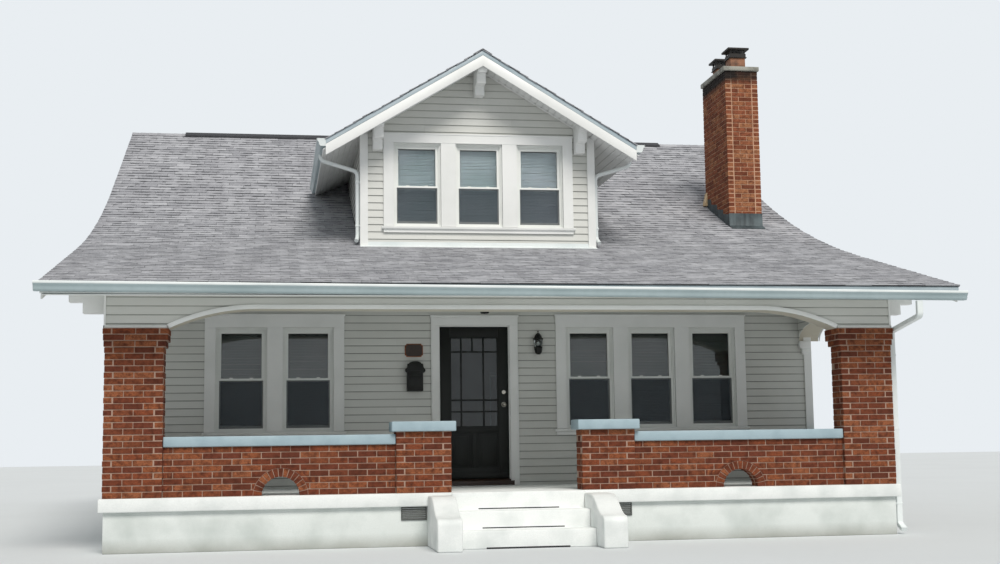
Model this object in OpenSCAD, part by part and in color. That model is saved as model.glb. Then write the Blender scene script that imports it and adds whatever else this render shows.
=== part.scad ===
// Side-gabled bungalow with a full-width brick porch under a bell-cast roof, a front dormer and a chimney.
// Millimetres, +Z up, the front faces -Y. Lengths along Y are laid out from the porch piers' front faces,
// heights from the ground, and placed() then moves everything so that the origin is under the middle.

/* [Body] */
// Width of the body over its side walls
body_w = 9020; // [8500:10:11000]
// Depth of the body, from the front wall to the rear wall
body_d = 12400; // [11800:50:15000]
// Thickness of the outer walls
wall_t = 200; // [160:5:240]
// Height of the porch floor above the ground
floor_h = 600; // [500:10:720]
// Step up from the porch floor to the house floor
sill_rise = 60; // [40:5:90]
// Thickness of the house floor
house_floor_t = 260; // [200:10:320]
// Clear height from the house floor to the underside of the attic floor
room_h = 2490; // [2400:10:2600]
// Thickness of the attic floor
attic_floor_t = 200; // [150:10:240]
// Thickness of the foundation walls
found_t = 250; // [200:10:300]
// Set-back of the foundation behind the siding
found_in = 20; // [0:5:60]

/* [Porch] */
// Depth of the porch, from the pier faces to the front wall
porch_d = 2250; // [1900:10:2700]
// How far the porch stands out beyond the body on each side
porch_out = 140; // [60:5:200]
// Thickness of the porch slab's white edge band
slab_t = 150; // [120:5:180]
// How far the slab reaches beyond the piers
slab_lip = 35; // [10:5:60]
// Set-back of the porch base behind the pier faces
base_in = 15; // [0:5:60]
// Width of a corner pier
pier_w = 650; // [540:10:780]
// Thickness of all piers, a brick and a half
pier_t = 310; // [260:5:370]
// Height of a corner pier above the porch floor
pier_h = 1885; // [1750:5:2000]
// Height of one brick course
course_h = 69.8; // [60:0.1:80]
// Projection of each of the two corbel steps at a pier's top
corbel = 25; // [10:1:35]
// Projection of the corbel on a pier's outer face
corbel_side = 15; // [0:1:25]
// Width of an entry pier
entry_pier_w = 640; // [540:10:760]
// Height of an entry pier's brickwork
entry_pier_h = 700; // [620:5:840]
// Clear width between the entry piers
entry_gap = 1530; // [1300:10:1800]
// Height of the low walls' brickwork
low_wall_h = 557; // [480:1:640]
// Thickness of the low walls
low_wall_t = 210; // [150:5:240]
// Set-back of the low walls behind the pier faces
low_wall_in = 50; // [20:5:80]
// Thickness of the copings
coping_t = 115; // [90:5:140]
// Overhang of the low walls' copings
coping_lip = 30; // [10:5:45]
// Overhang of the entry piers' copings
entry_lip = 50; // [20:5:60]
// Radius of a half-round drain opening
drain_r = 210; // [150:5:250]
// Distance of the drains from the middle of the house
drain_x = 2700; // [2300:10:3200]

/* [Steps] */
// Number of risers from the ground to the porch floor
risers = 3; // [2:1:4]
// Depth of a tread
tread = 290; // [250:5:340]
// How far the top landing stands out from the slab
landing = 25; // [5:5:60]
// Clear width of the steps
steps_w = 1550; // [1300:10:1860]
// Width of a cheek wall
cheek_w = 275; // [200:5:330]
// How far the cheek walls reach forward of the pier faces
cheek_run = 980; // [920:5:1200]
// Drop of a cheek wall's back end below the porch floor
cheek_drop = 30; // [0:5:60]
// Fall of a cheek wall's S-curve from its back end to its nose
cheek_fall = 215; // [120:5:260]
// Length of the flat part at the back of a cheek wall
cheek_flat = 350; // [200:5:420]
// Radius of a cheek wall's rounded nose
cheek_nose = 80; // [40:5:120]

/* [Porch beams] */
// Thickness of the porch beams
beam_t = 300; // [250:5:310]
// Height of the flat part of the beams' arches above the porch floor
arch_head = 2105; // [2060:5:2200]
// Run of the front arch from a pier to its flat part
arch_run = 980; // [700:10:1200]
// Run of a side arch at each end
side_run = 550; // [400:10:680]
// Height of the arch trim boards
trim_h = 50; // [30:5:70]
// Projection of the arch trim boards from the beams
trim_t = 18; // [10:1:25]
// Height of the porch ceiling above the porch floor
ceiling_h = 2300; // [2260:5:2330]
// Thickness of the porch ceiling
ceiling_t = 25; // [15:1:40]
// Height of the upper block of a beam's capital on the front wall
capital_top = 100; // [70:5:120]
// Height of the lower block of a beam's capital
capital_low = 85; // [60:5:110]
// Projection of a capital from the front wall
capital_out = 60; // [40:5:90]

/* [Roof] */
// Forward overhang of the front eave beyond the pier faces
eave_out = 580; // [450:10:700]
// Height of the front eave's top edge above the porch floor
eave_h = 2362; // [2350:2:2480]
// Pitch of the flatter part over the porch
low_pitch = 14.5; // [13.5:0.1:16]
// Pitch of the main slopes
main_pitch = 27.7; // [26:0.1:29]
// Distance of the bend in the front slope behind the front wall
bend_back = 1950; // [1600:10:2250]
// Radius of the bell-cast bend
bend_r = 18000; // [12000:100:20000]
// Height of the rear eave's top edge above the porch floor
rear_eave_h = 2774; // [2700:2:2900]
// Overhang of the rear eave beyond the rear wall
rear_out = 600; // [450:10:700]
// Overhang of the roof beyond the porch's sides
rake_out = 610; // [500:5:680]
// Vertical thickness of the roof
roof_t = 150; // [120:5:180]
// Depth of the rake boards
rake_h = 210; // [180:5:260]
// Thickness of rake and fascia boards
board_t = 25; // [18:1:32]
// Half length of the ridge vent
vent_x = 4350; // [3800:10:5000]
// Half width of the ridge vent
vent_w = 150; // [110:5:200]
// Height of the ridge vent
vent_h = 30; // [20:1:45]

/* [Dormer] */
// Width of the dormer over its walls
dormer_w = 3240; // [3000:10:3900]
// Distance of the dormer's front wall behind the front wall of the body
dormer_back = 490; // [350:10:800]
// Thickness of the dormer's walls
dormer_t = 150; // [110:5:180]
// Height of the dormer's ridge above the porch floor
dormer_ridge = 5875; // [5800:5:6000]
// Pitch of the dormer's roof
dormer_pitch = 31; // [29.5:0.5:33]
// Forward overhang of the dormer's roof
dormer_out = 500; // [400:10:620]
// Side overhang of the dormer's roof beyond its walls
dormer_side = 500; // [420:10:600]
// Vertical thickness of the dormer's roof
dormer_roof_t = 125; // [100:5:150]
// Depth of the dormer's rake boards
dormer_rake_h = 235; // [200:5:280]

/* [Brackets] */
// Thickness of a bracket
bracket_t = 130; // [100:5:150]
// Height of one step of a bracket
bracket_step = 128; // [100:1:150]
// Lengths of the three steps of a bracket, from the lowest up
bracket_low = 275; // [200:5:330]
// Length of the middle step
bracket_mid = 430; // [340:5:470]
// Length of the top step
bracket_top = 560; // [480:5:580]
// Lengths of a dormer bracket's steps, from the lowest up
dormer_bracket_low = 170; // [120:5:200]
// Length of the middle step of a dormer bracket
dormer_bracket_mid = 330; // [240:5:350]
// Length of the top step of a dormer bracket
dormer_bracket_top = 450; // [370:5:480]

/* [Windows] */
// Width of a window frame
win_w = 650; // [540:10:760]
// Height of a window frame on the main floor
win_h = 1345; // [1150:5:1500]
// Height of a window frame in the dormer and the gables
attic_win_h = 1160; // [1000:5:1200]
// Height of the main floor's window frames above the porch floor
win_sill = 730; // [640:5:860]
// Height of the dormer's window frames above the porch floor
attic_sill = 3500; // [3450:5:3560]
// Width of the casing between two window frames
mullion = 205; // [150:5:240]
// Width of a window's side casing
casing_w = 140; // [100:5:150]
// Height of a window's head casing on the main floor
head_h = 175; // [60:5:200]
// Height of a window's head casing in the dormer and the gables
attic_head_h = 75; // [50:5:100]
// Height of the apron board and sill under a window
apron_h = 85; // [60:5:150]
// Thickness of a window's sill
sill_t = 40; // [25:1:55]
// Projection of the sills from the wall
sill_out = 60; // [40:5:80]
// Projection of the casings from the wall
casing_t = 28; // [20:1:35]
// Depth of a window frame behind the wall face
frame_d = 120; // [90:5:140]
// Width of a window's stiles and top rail, frame and sash together
stile = 62; // [45:1:75]
// Height of the meeting rail
meeting = 42; // [30:1:55]
// Thickness of the glass
glass_t = 6; // [4:1:12]
// Distance of the window glass behind the wall face
glass_in = 70; // [50:5:80]

/* [Front door] */
// Distance of the door's middle from the middle of the house
door_x = -160; // [-300:10:0]
// Clear width of the doorway
door_w = 943; // [820:1:1050]
// Height of the doorway's head above the porch floor
door_head = 2107; // [2000:1:2150]
// Thickness of the door frame
jamb = 40; // [25:1:50]
// Width of the door's casing beyond the doorway
door_casing = 110; // [80:5:130]
// Thickness of the threshold
threshold_t = 20; // [10:1:30]
// Clearance around the door leaf
door_gap = 7; // [6.5:0.5:9]
// Thickness of the door leaf
leaf_t = 45; // [38:1:55]
// Distance of the door leaf behind the wall face
leaf_in = 50; // [40:1:90]
// Width and projection of the door stops
stop_t = 12; // [8:1:18]
// Width of the door's glazing
door_glass_w = 642; // [520:1:660]
// Height of the glazing's lower edge above the porch floor
door_glass_low = 760; // [700:5:860]
// Height of the glazing's upper edge above the porch floor
door_glass_high = 1951; // [1850:1:1970]
// Depth of the panels in the door
panel_in = 9; // [4:1:12]
// Height of the knob above the porch floor
knob_h = 1055; // [950:5:1150]
// Radius of the knob
knob_r = 27; // [20:1:32]
// Radius of a hinge's knuckles
hinge_r = 7; // [5:0.5:8]
// Height of a hinge
hinge_h = 90; // [70:2:110]

/* [Chimney] */
// Distance of the chimney's middle from the middle of the body's side wall, inwards
chimney_in = 70; // [30:5:90]
// Width of the chimney across the front
chimney_w = 530; // [440:10:640]
// Depth of the chimney
chimney_d = 1150; // [960:10:1380]
// Distance of the chimney's front face behind the front wall
chimney_back = 2200; // [2050:10:2450]
// Height of the chimney's brickwork above the porch floor
chimney_h = 6300; // [5800:10:7000]
// Thickness of the chimney's cap slab
cap_t = 70; // [50:5:90]
// Overhang of the chimney's cap slab
cap_lip = 25; // [10:5:50]
// Outer width of a flue tile
flue_w = 240; // [200:5:280]
// Height of a flue tile above the cap slab
flue_h = 240; // [150:5:300]
// Thickness of a flue tile
flue_t = 25; // [18:1:35]
// Distance of each flue from the chimney's middle, along its depth
flue_off = 330; // [260:10:380]

/* [Gutters] */
// Height of a gutter
gutter_h = 105; // [90:1:125]
// Width of a gutter
gutter_w = 120; // [100:5:135]
// Thickness of a gutter's sheet
gutter_t = 4; // [3:0.5:6]
// Fall of the front gutter towards the downspout
gutter_fall = 66; // [40:1:80]
// How far the gutters reach beyond the rakes
gutter_past = 55; // [20:5:80]
// Width of a downspout
spout_w = 75; // [60:1:90]
// Depth of a downspout
spout_d = 55; // [45:1:70]

/* [Fittings] */
// Width of the mailbox
mailbox_w = 270; // [220:5:320]
// Height of the mailbox
mailbox_h = 390; // [320:5:450]
// Depth of the mailbox
mailbox_d = 110; // [80:5:140]
// Width of the lantern on the wall
lantern_w = 136; // [110:2:170]
// Height of the lantern
lantern_h = 320; // [260:5:380]
// Width of the porch light at its top
light_w = 190; // [150:2:240]
// Width of the porch light at its foot
light_foot = 108; // [80:2:140]
// Height of the porch light
light_h = 145; // [110:5:180]
// Width of the number plaque
plaque_w = 240; // [200:5:290]
// Height of the number plaque
plaque_h = 174; // [140:2:210]

/* [Hidden] */
far = 30000;                                  // longer than the house, for cuts
eps = 1;                                      // how far a cut runs past a face

// Plan
body_x = body_w / 2;
porch_x = body_x + porch_out;
rear_y = porch_d + body_d;
in_x = body_x - wall_t;
in_front = porch_d + wall_t;
in_rear = rear_y - wall_t;
slab_x = porch_x + slab_lip;
base_x = porch_x - base_in;
rake_x = porch_x + rake_out;
roof_x = rake_x - board_t;
gutter_x = rake_x + gutter_past;
entry_x = entry_gap / 2;
rear_eave = rear_y + rear_out;

// Heights
house_z = floor_h + sill_rise;
found_h = house_z - house_floor_t;
attic_z = house_z + room_h;
attic_top = attic_z + attic_floor_t;
pier_top = floor_h + pier_h;
arch_z = floor_h + arch_head;
ceiling_z = floor_h + ceiling_h;
slab_z = floor_h - slab_t;
low_wall_z = floor_h + low_wall_h;
entry_pier_z = floor_h + entry_pier_h;
door_z = house_z + threshold_t;
door_top = floor_h + door_head;

// Roof: two straight pitches joined by an arc, then the ridge, which lies where the rear slope meets them
eave_z = floor_h + eave_h;
rear_eave_z = floor_h + rear_eave_h;
bend_y = porch_d + bend_back;
bend_z = eave_z + tan(low_pitch) * (bend_y + eave_out);
ridge_y = (bend_y + rear_eave + (rear_eave_z - bend_z) / tan(main_pitch)) / 2;
ridge_z = bend_z + tan(main_pitch) * (ridge_y - bend_y);
bend_len = bend_r * tan((main_pitch - low_pitch) / 2);
bend_start = [bend_y, bend_z] - bend_len * [cos(low_pitch), sin(low_pitch)];
bend_centre = bend_start + bend_r * [-sin(low_pitch), cos(low_pitch)];
bend_steps = 8;
function bend_point(t) = bend_centre + bend_r * [sin(t), -cos(t)];
bend = [for (i = [0:bend_steps]) bend_point(low_pitch + (main_pitch - low_pitch) * i / bend_steps)];
roof_line = concat([[-eave_out, eave_z]], bend, [[ridge_y, ridge_z], [rear_eave, rear_eave_z]]);
function lowered(line, d) = [for (p = line) p - [0, d]];
function reversed(line) = [for (i = [len(line) - 1:-1:0]) line[i]];
function roof_at(y) = lookup(y, [for (p = roof_line) p]);

// Dormer
dormer_x = dormer_w / 2;
dormer_y = porch_d + dormer_back;
dormer_z = floor_h + dormer_ridge;
dormer_front = dormer_y - dormer_out;
dormer_eave_x = dormer_x + dormer_side;
function dormer_at(x) = dormer_z - tan(dormer_pitch) * abs(x);
dormer_eave_z = dormer_at(dormer_eave_x);

// Windows
win_pitch = win_w + mullion;
win_z = floor_h + win_sill;
attic_win_z = floor_h + attic_sill;
front_left_x = -2770;                         // middle of the pair left of the door
front_right_x = 2255;                         // middle of the three right of the door
side_back = [2150, 5050, 7950, 10750];        // middles of the pairs in a side wall, behind the front wall
side_left_y = [for (d = side_back) porch_d + d];
side_right_y = [for (i = [1:3]) side_left_y[i]];  // the chimney takes the place of the first pair
rear_x = [-2700, 0, 2700];                    // middles of the rear windows
rear_count = [2, 1, 2];

// Chimney
chimney_x = body_x - chimney_in;
chimney_y = porch_d + chimney_back;
chimney_top = floor_h + chimney_h;
chimney_mid_y = chimney_y + chimney_d / 2;
cap_top = chimney_top + cap_t;

// The whole box along Y, and its middle
front_end = -max(cheek_run, eave_out + board_t + gutter_w);
rear_end = rear_eave + board_t + gutter_w;
mid_y = (front_end + rear_end) / 2;
module placed() { translate([0, -mid_y, 0]) children(); }

// A box between two corners
module box(a, b) { translate(a) cube(b - a); }

// An outline in the Y-Z plane, extruded along X between two values
module along_x(x0, x1) {
    translate([x0, 0, 0]) rotate([90, 0, 90]) linear_extrude(height = x1 - x0) children();
}

// An outline in the X-Z plane, extruded along Y between two values
module along_y(y0, y1) {
    translate([0, y1, 0]) rotate([90, 0, 0]) linear_extrude(height = y1 - y0) children();
}

module both_sides() {
    children();
    mirror([1, 0, 0]) children();
}

// All space below a line of the roof, set down by a drop
module below_roof(drop) {
    along_x(-far, far)
        polygon(concat(lowered(roof_line, drop), [[rear_eave, -far], [-eave_out, -far]]));
}

// All space below the dormer's roof planes, set down by a drop
module below_dormer(drop) {
    along_y(-far, far)
        polygon([[-dormer_eave_x, -far], [dormer_eave_x, -far], [dormer_eave_x, dormer_eave_z - drop],
            [0, dormer_z - drop], [-dormer_eave_x, dormer_eave_z - drop]]);
}

// The space that the chimney takes up
module chimney_space() {
    box([chimney_x - chimney_w / 2, chimney_y, -eps],
        [chimney_x + chimney_w / 2, chimney_y + chimney_d, chimney_top + eps]);
}

// Base

module foundation() {
    color("gainsboro") placed() difference() {
        box([-body_x + found_in, porch_d, 0], [body_x - found_in, rear_y - found_in, found_h]);
        box([-body_x + found_in + found_t, porch_d + found_t, -eps],
            [body_x - found_in - found_t, rear_y - found_in - found_t, found_h + eps]);
        chimney_space();
    }
}

module porch_base() {
    color("whitesmoke") placed() difference() {
        box([-base_x, base_in, 0], [base_x, porch_d, slab_z]);
        box([-base_x + found_t, base_in + found_t, -eps], [base_x - found_t, porch_d + eps, slab_z + eps]);
    }
}

module porch_slab() {
    color("white") placed() box([-slab_x, -slab_lip, slab_z], [slab_x, porch_d, floor_h]);
}

// Outline of the back of the steps: it fits under the slab's lip
steps_back = [[base_in, 0], [base_in, slab_z], [-slab_lip, slab_z]];
riser = floor_h / risers;
step_nose = -slab_lip - landing;

module front_steps() {
    treads = [for (i = [0:risers - 1], k = [0:1]) [step_nose - tread * i, floor_h - riser * (i + k)]];
    color("white") placed() along_x(-steps_w / 2, steps_w / 2)
        polygon(concat(steps_back, [[-slab_lip, floor_h]], treads));
}

module step_cheeks() {
    back_z = floor_h - cheek_drop;
    nose_z = back_z - cheek_fall;
    curve_y = cheek_run - cheek_nose;
    curve_steps = 12;
    nose_steps = 6;
    s_curve = [for (i = [0:curve_steps]) let (t = i / curve_steps)
        [-cheek_flat - (curve_y - cheek_flat) * t, back_z - cheek_fall * (1 - cos(180 * t)) / 2]];
    nose = [for (i = [1:nose_steps]) let (a = 90 * i / nose_steps)
        [-curve_y - cheek_nose * sin(a), nose_z - cheek_nose * (1 - cos(a))]];
    color("white") placed() both_sides() along_x(steps_w / 2, steps_w / 2 + cheek_w)
        polygon(concat(steps_back, [[-slab_lip, back_z]], s_curve, nose, [[-cheek_run, 0]]));
}

// Porch masonry

// The L-shaped plan of a corner pier on the right, widened by a corbel step
module pier_plan(out, side) {
    polygon([[porch_x - pier_w - out, -out], [porch_x + side, -out], [porch_x + side, pier_w + out],
        [porch_x - pier_t - out, pier_w + out], [porch_x - pier_t - out, pier_t + out],
        [porch_x - pier_w - out, pier_t + out]]);
}

module corner_piers() {
    low_z = pier_top - 3 * course_h;
    high_z = pier_top - 2 * course_h;
    color("sienna") placed() both_sides() {
        translate([0, 0, floor_h]) linear_extrude(height = low_z - floor_h) pier_plan(0, 0);
        translate([0, 0, low_z]) linear_extrude(height = high_z - low_z) pier_plan(corbel, corbel_side / 2);
        translate([0, 0, high_z]) linear_extrude(height = pier_top - high_z)
            pier_plan(2 * corbel, corbel_side);
    }
}

module entry_piers() {
    color("sienna") placed() both_sides()
        box([entry_x, 0, floor_h], [entry_x + entry_pier_w, pier_t, entry_pier_z]);
}

low_wall_x = [entry_x + entry_pier_w, porch_x - pier_w];
low_wall_y = [low_wall_in, low_wall_in + low_wall_t];
side_wall_x = [porch_x - low_wall_in - low_wall_t, porch_x - low_wall_in];

module porch_front_walls() {
    color("sienna") placed() both_sides() difference() {
        box([low_wall_x[0], low_wall_y[0], floor_h], [low_wall_x[1], low_wall_y[1], low_wall_z]);
        translate([drain_x, low_wall_y[0] - eps, floor_h]) rotate([-90, 0, 0])
            cylinder(h = low_wall_t + 2 * eps, r = drain_r, $fn = 64);
    }
}

module porch_side_walls() {
    color("sienna") placed() both_sides()
        box([side_wall_x[0], pier_w, floor_h], [side_wall_x[1], porch_d, low_wall_z]);
}

module copings() {
    color("lightsteelblue") placed() both_sides() {
        box([low_wall_x[0], low_wall_y[0] - coping_lip, low_wall_z],
            [low_wall_x[1], low_wall_y[1] + coping_lip, low_wall_z + coping_t]);
        box([side_wall_x[0] - coping_lip, pier_w, low_wall_z],
            [side_wall_x[1] + coping_lip, porch_d, low_wall_z + coping_t]);
        box([entry_x - entry_lip, -entry_lip, entry_pier_z],
            [entry_x + entry_pier_w + entry_lip, pier_t + entry_lip, entry_pier_z + coping_t]);
    }
}

// Porch beams: flat arches that spring from the piers' tops

arch_x = porch_x - pier_w - 2 * corbel;
arch_rise = arch_z - pier_top;
arch_r = (arch_run * arch_run + arch_rise * arch_rise) / (2 * arch_rise);
arch_steps = 10;
side_y0 = pier_w + 2 * corbel;
side_y1 = porch_d;

// The right end of the front arch, from its flat part down to the pier, moved by an offset
function arch_end(off) = [for (i = [0:arch_steps]) let (a = asin(arch_run / arch_r) * i / arch_steps)
    [arch_x - arch_run + (arch_r + off) * sin(a), arch_z - arch_r + (arch_r + off) * cos(a)]];
function flip_x(line) = [for (p = reversed(line)) [-p[0], p[1]]];
function front_arch(off) = concat(flip_x(arch_end(off)), arch_end(off));

// A side arch: a quarter of an ellipse at each end
function side_arch(off) = concat(
    [for (i = [0:arch_steps]) let (a = 90 * i / arch_steps)
        [side_y0 + side_run - (side_run + off) * cos(a), pier_top + (arch_rise + off) * sin(a)]],
    [for (i = [arch_steps:-1:0]) let (a = 90 * i / arch_steps)
        [side_y1 - side_run + (side_run + off) * cos(a), pier_top + (arch_rise + off) * sin(a)]]);

module porch_front_beam() {
    color("cornsilk") placed() difference() {
        intersection() {
            box([-porch_x, 0, pier_top], [porch_x, beam_t, far]);
            below_roof(roof_t);
        }
        along_y(-eps, beam_t + eps)
            polygon(concat([[-arch_x, 0]], front_arch(0), [[arch_x, 0]]));
    }
}

module porch_side_beams() {
    color("cornsilk") placed() both_sides() difference() {
        intersection() {
            box([porch_x - beam_t, beam_t, pier_top], [porch_x, porch_d, far]);
            below_roof(roof_t);
        }
        along_x(porch_x - beam_t - eps, porch_x + eps)
            polygon(concat([[side_y0, 0]], side_arch(0), [[side_y1, 0]]));
    }
}

module arch_trims() {
    color("beige") placed() {
        difference() {
            along_y(-trim_t, 0) polygon(concat(front_arch(trim_h), reversed(front_arch(0))));
            box([-far, -far, 0], [far, far, pier_top]);
        }
        both_sides() difference() {
            along_x(porch_x, porch_x + trim_t) polygon(concat(side_arch(trim_h), reversed(side_arch(0))));
            box([-far, -far, 0], [far, far, pier_top]);
            box([-far, porch_d, 0], [far, far, far]);
            box([-far, -far, 0], [far, side_y0, far]);
        }
    }
}

module beam_capitals() {
    x0 = porch_x - beam_t;
    step = 40;
    color("beige") placed() both_sides() {
        box([x0, porch_d - capital_out, pier_top - capital_top], [body_x, porch_d, pier_top]);
        box([x0 + step, porch_d - capital_out + step / 2, pier_top - capital_top - capital_low],
            [body_x - step, porch_d, pier_top - capital_top]);
    }
}

module porch_ceiling() {
    color("ivory") placed()
        box([-porch_x + beam_t, beam_t, ceiling_z], [porch_x - beam_t, porch_d, ceiling_z + ceiling_t]);
}

// Floors

module house_floor() {
    color("burlywood") placed() difference() {
        box([-body_x, porch_d, found_h], [body_x, rear_y, house_z]);
        chimney_space();
    }
}

module attic_floor() {
    color("burlywood") placed() difference() {
        box([-in_x, in_front, attic_z], [in_x, in_rear, attic_top]);
        chimney_space();
    }
}

// Walls

// Offsets of n windows from the middle of their group
function win_offsets(n) = [for (i = [0:n - 1]) (i - (n - 1) / 2) * win_pitch];

// The holes for a group of windows in a wall whose outer face is y = 0, facing -Y
module win_holes(n, h) {
    for (dx = win_offsets(n)) box([dx - win_w / 2, -eps, 0], [dx + win_w / 2, wall_t + eps, h]);
}

// Places a group drawn in front of y = 0 on each of the four walls
module on_front(x, z) { translate([x, porch_d, z]) children(); }
module on_rear(x, z) { translate([x, rear_y, z]) rotate([0, 0, 180]) children(); }
module on_left(y, z) { translate([-body_x, y, z]) rotate([0, 0, -90]) children(); }
module on_right(y, z) { translate([body_x, y, z]) rotate([0, 0, 90]) children(); }

door_hole = [door_x - door_w / 2 - jamb, door_x + door_w / 2 + jamb];

module front_wall_piece(x0, x1, z0, z1) {
    intersection() {
        box([x0, porch_d, z0], [x1, in_front, z1]);
        below_roof(roof_t);
    }
}

module front_wall_left() {
    color("cornsilk") placed() difference() {
        front_wall_piece(-body_x, door_hole[0], house_z, far);
        on_front(front_left_x, win_z) win_holes(2, win_h);
    }
}

module front_wall_right() {
    color("cornsilk") placed() difference() {
        front_wall_piece(door_hole[1], body_x, house_z, far);
        on_front(front_right_x, win_z) win_holes(3, win_h);
    }
}

module front_wall_over_door() {
    color("cornsilk") placed() front_wall_piece(door_hole[0], door_hole[1], door_top + jamb, far);
}

module gable_wall() {
    intersection() {
        box([-body_x, in_front, house_z], [-in_x, in_rear, far]);
        below_roof(roof_t);
    }
}

module left_wall() {
    color("cornsilk") placed() difference() {
        gable_wall();
        for (y = side_left_y) on_left(y, win_z) win_holes(2, win_h);
        on_left(ridge_y, attic_win_z) win_holes(2, attic_win_h);
    }
}

module right_wall() {
    color("cornsilk") placed() difference() {
        mirror([1, 0, 0]) gable_wall();
        for (y = side_right_y) on_right(y, win_z) win_holes(2, win_h);
        on_right(ridge_y, attic_win_z) win_holes(2, attic_win_h);
        chimney_space();
    }
}

module rear_wall() {
    color("cornsilk") placed() difference() {
        intersection() {
            box([-body_x, in_rear, house_z], [body_x, rear_y, far]);
            below_roof(roof_t);
        }
        for (i = [0:len(rear_x) - 1]) on_rear(rear_x[i], win_z) win_holes(rear_count[i], win_h);
    }
}

// Windows

// A group of windows in front of y = 0: casing, frames and sashes in one, with a meeting rail each
module win_group(n, h, head) {
    half = win_offsets(n)[n - 1] + win_w / 2 + casing_w;
    difference() {
        union() {
            box([-half, -casing_t, -apron_h], [half, 0, h + head]);
            box([-half - casing_t, -sill_out, -sill_t], [half + casing_t, 0, 0]);
            for (dx = win_offsets(n)) box([dx - win_w / 2, -casing_t, 0], [dx + win_w / 2, frame_d, h]);
        }
        for (dx = win_offsets(n))
            box([dx - win_w / 2 + stile, -far, stile], [dx + win_w / 2 - stile, far, h - stile]);
    }
    for (dx = win_offsets(n))
        box([dx - win_w / 2 + stile, glass_in - meeting, (h - meeting) / 2],
            [dx + win_w / 2 - stile, glass_in, (h + meeting) / 2]);
}

// The glass of the same group
module win_panes(n, h) {
    for (dx = win_offsets(n))
        box([dx - win_w / 2 + stile, glass_in, stile],
            [dx + win_w / 2 - stile, glass_in + glass_t, h - stile]);
}

module front_windows() {
    color("beige") placed() {
        on_front(front_left_x, win_z) win_group(2, win_h, head_h);
        on_front(front_right_x, win_z) win_group(3, win_h, head_h);
    }
}

module side_windows() {
    color("beige") placed() {
        for (y = side_left_y) on_left(y, win_z) win_group(2, win_h, head_h);
        for (y = side_right_y) on_right(y, win_z) win_group(2, win_h, head_h);
        on_left(ridge_y, attic_win_z) win_group(2, attic_win_h, attic_head_h);
        on_right(ridge_y, attic_win_z) win_group(2, attic_win_h, attic_head_h);
    }
}

module rear_windows() {
    color("beige") placed() for (i = [0:len(rear_x) - 1])
        on_rear(rear_x[i], win_z) win_group(rear_count[i], win_h, head_h);
}

module dormer_windows() {
    color("beige") placed()
        translate([0, dormer_y, attic_win_z]) win_group(3, attic_win_h, attic_head_h);
}

module window_glass() {
    color("lightsteelblue") placed() {
        on_front(front_left_x, win_z) win_panes(2, win_h);
        on_front(front_right_x, win_z) win_panes(3, win_h);
        for (y = side_left_y) on_left(y, win_z) win_panes(2, win_h);
        for (y = side_right_y) on_right(y, win_z) win_panes(2, win_h);
        on_left(ridge_y, attic_win_z) win_panes(2, attic_win_h);
        on_right(ridge_y, attic_win_z) win_panes(2, attic_win_h);
        for (i = [0:len(rear_x) - 1]) on_rear(rear_x[i], win_z) win_panes(rear_count[i], win_h);
        translate([0, dormer_y, attic_win_z]) win_panes(3, attic_win_h);
    }
}

// Front door, drawn in front of the doorway's middle, with the wall face at y = 0

module at_door() { translate([door_x, porch_d, 0]) children(); }

hinge_gap = 0.3;                              // running gap between a hinge's two knuckles
hinge_clear = 0.5;                            // from the knuckles to the door frame
hinge_in = 250;                               // from the doorway's ends to the outer hinges
hinge_plate = 2;                              // thickness of a hinge's plates
hinge_reach = 40;                             // how far the plates reach beside the leaf
hinge_x = -door_w / 2 + hinge_r + hinge_clear;        // the hinge pin's axis, in the door's own layout
hinge_y = leaf_in + leaf_t + hinge_r + 1;
hinge_zs = [door_z + hinge_in, (door_z + door_top - hinge_h) / 2, door_top - hinge_in - hinge_h];

// One knuckle of each hinge with its plate, which stands on x
module knuckles(x, z, h) {
    for (hz = hinge_zs) translate([0, 0, hz + z]) {
        translate([hinge_x, hinge_y, 0]) cylinder(h = h, r = hinge_r, $fn = 32);
        box([x, leaf_in + leaf_t - hinge_reach, 0], [x + hinge_plate, hinge_y, h]);
    }
}

module door_frame() {
    half = door_w / 2;
    side = half + door_casing;
    stop_y = [leaf_in - door_gap - stop_t, leaf_in - door_gap];
    color("beige") placed() at_door() {
        difference() {
            union() {
                box([-side, -casing_t, floor_h], [side, 0, door_top + door_casing + jamb / 2]);
                box([-half - jamb, -casing_t, house_z], [half + jamb, wall_t, door_top + jamb]);
            }
            box([-half, -far, door_z], [half, stop_y[0], door_top]);
            box([-half + stop_t, -far, door_z], [half - stop_t, far, door_top - stop_t]);
            box([-half, stop_y[1], door_z], [half, far, door_top]);
        }
        knuckles(-half, 0, hinge_h / 2);
    }
}

leaf = [[-door_w / 2 + door_gap, leaf_in, door_z + door_gap],
    [door_w / 2 - door_gap, leaf_in + leaf_t, door_top - door_gap]];
door_glass_box = [[-door_glass_w / 2, leaf_in, floor_h + door_glass_low],
    [door_glass_w / 2, leaf_in + leaf_t, floor_h + door_glass_high]];

module front_door() {
    panel_gap = 70;
    panel_top = door_glass_box[0][2] - panel_gap;
    panel_low = leaf[0][2] + 2 * panel_gap;
    panel_w = (door_glass_w - panel_gap) / 2;
    color("dimgray") placed() at_door() {
        difference() {
            box(leaf[0], leaf[1]);
            box(door_glass_box[0] - [0, eps, 0], door_glass_box[1] + [0, eps, 0]);
            for (x = [-door_glass_w / 2, door_glass_w / 2 - panel_w]) {
                box([x, -far, panel_low], [x + panel_w, leaf_in + panel_in, panel_top]);
                box([x, leaf_in + leaf_t - panel_in, panel_low], [x + panel_w, far, panel_top]);
            }
        }
        knuckles(leaf[0][0] - hinge_plate, hinge_h / 2 + hinge_gap, hinge_h / 2 - hinge_gap);
    }
}

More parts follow.
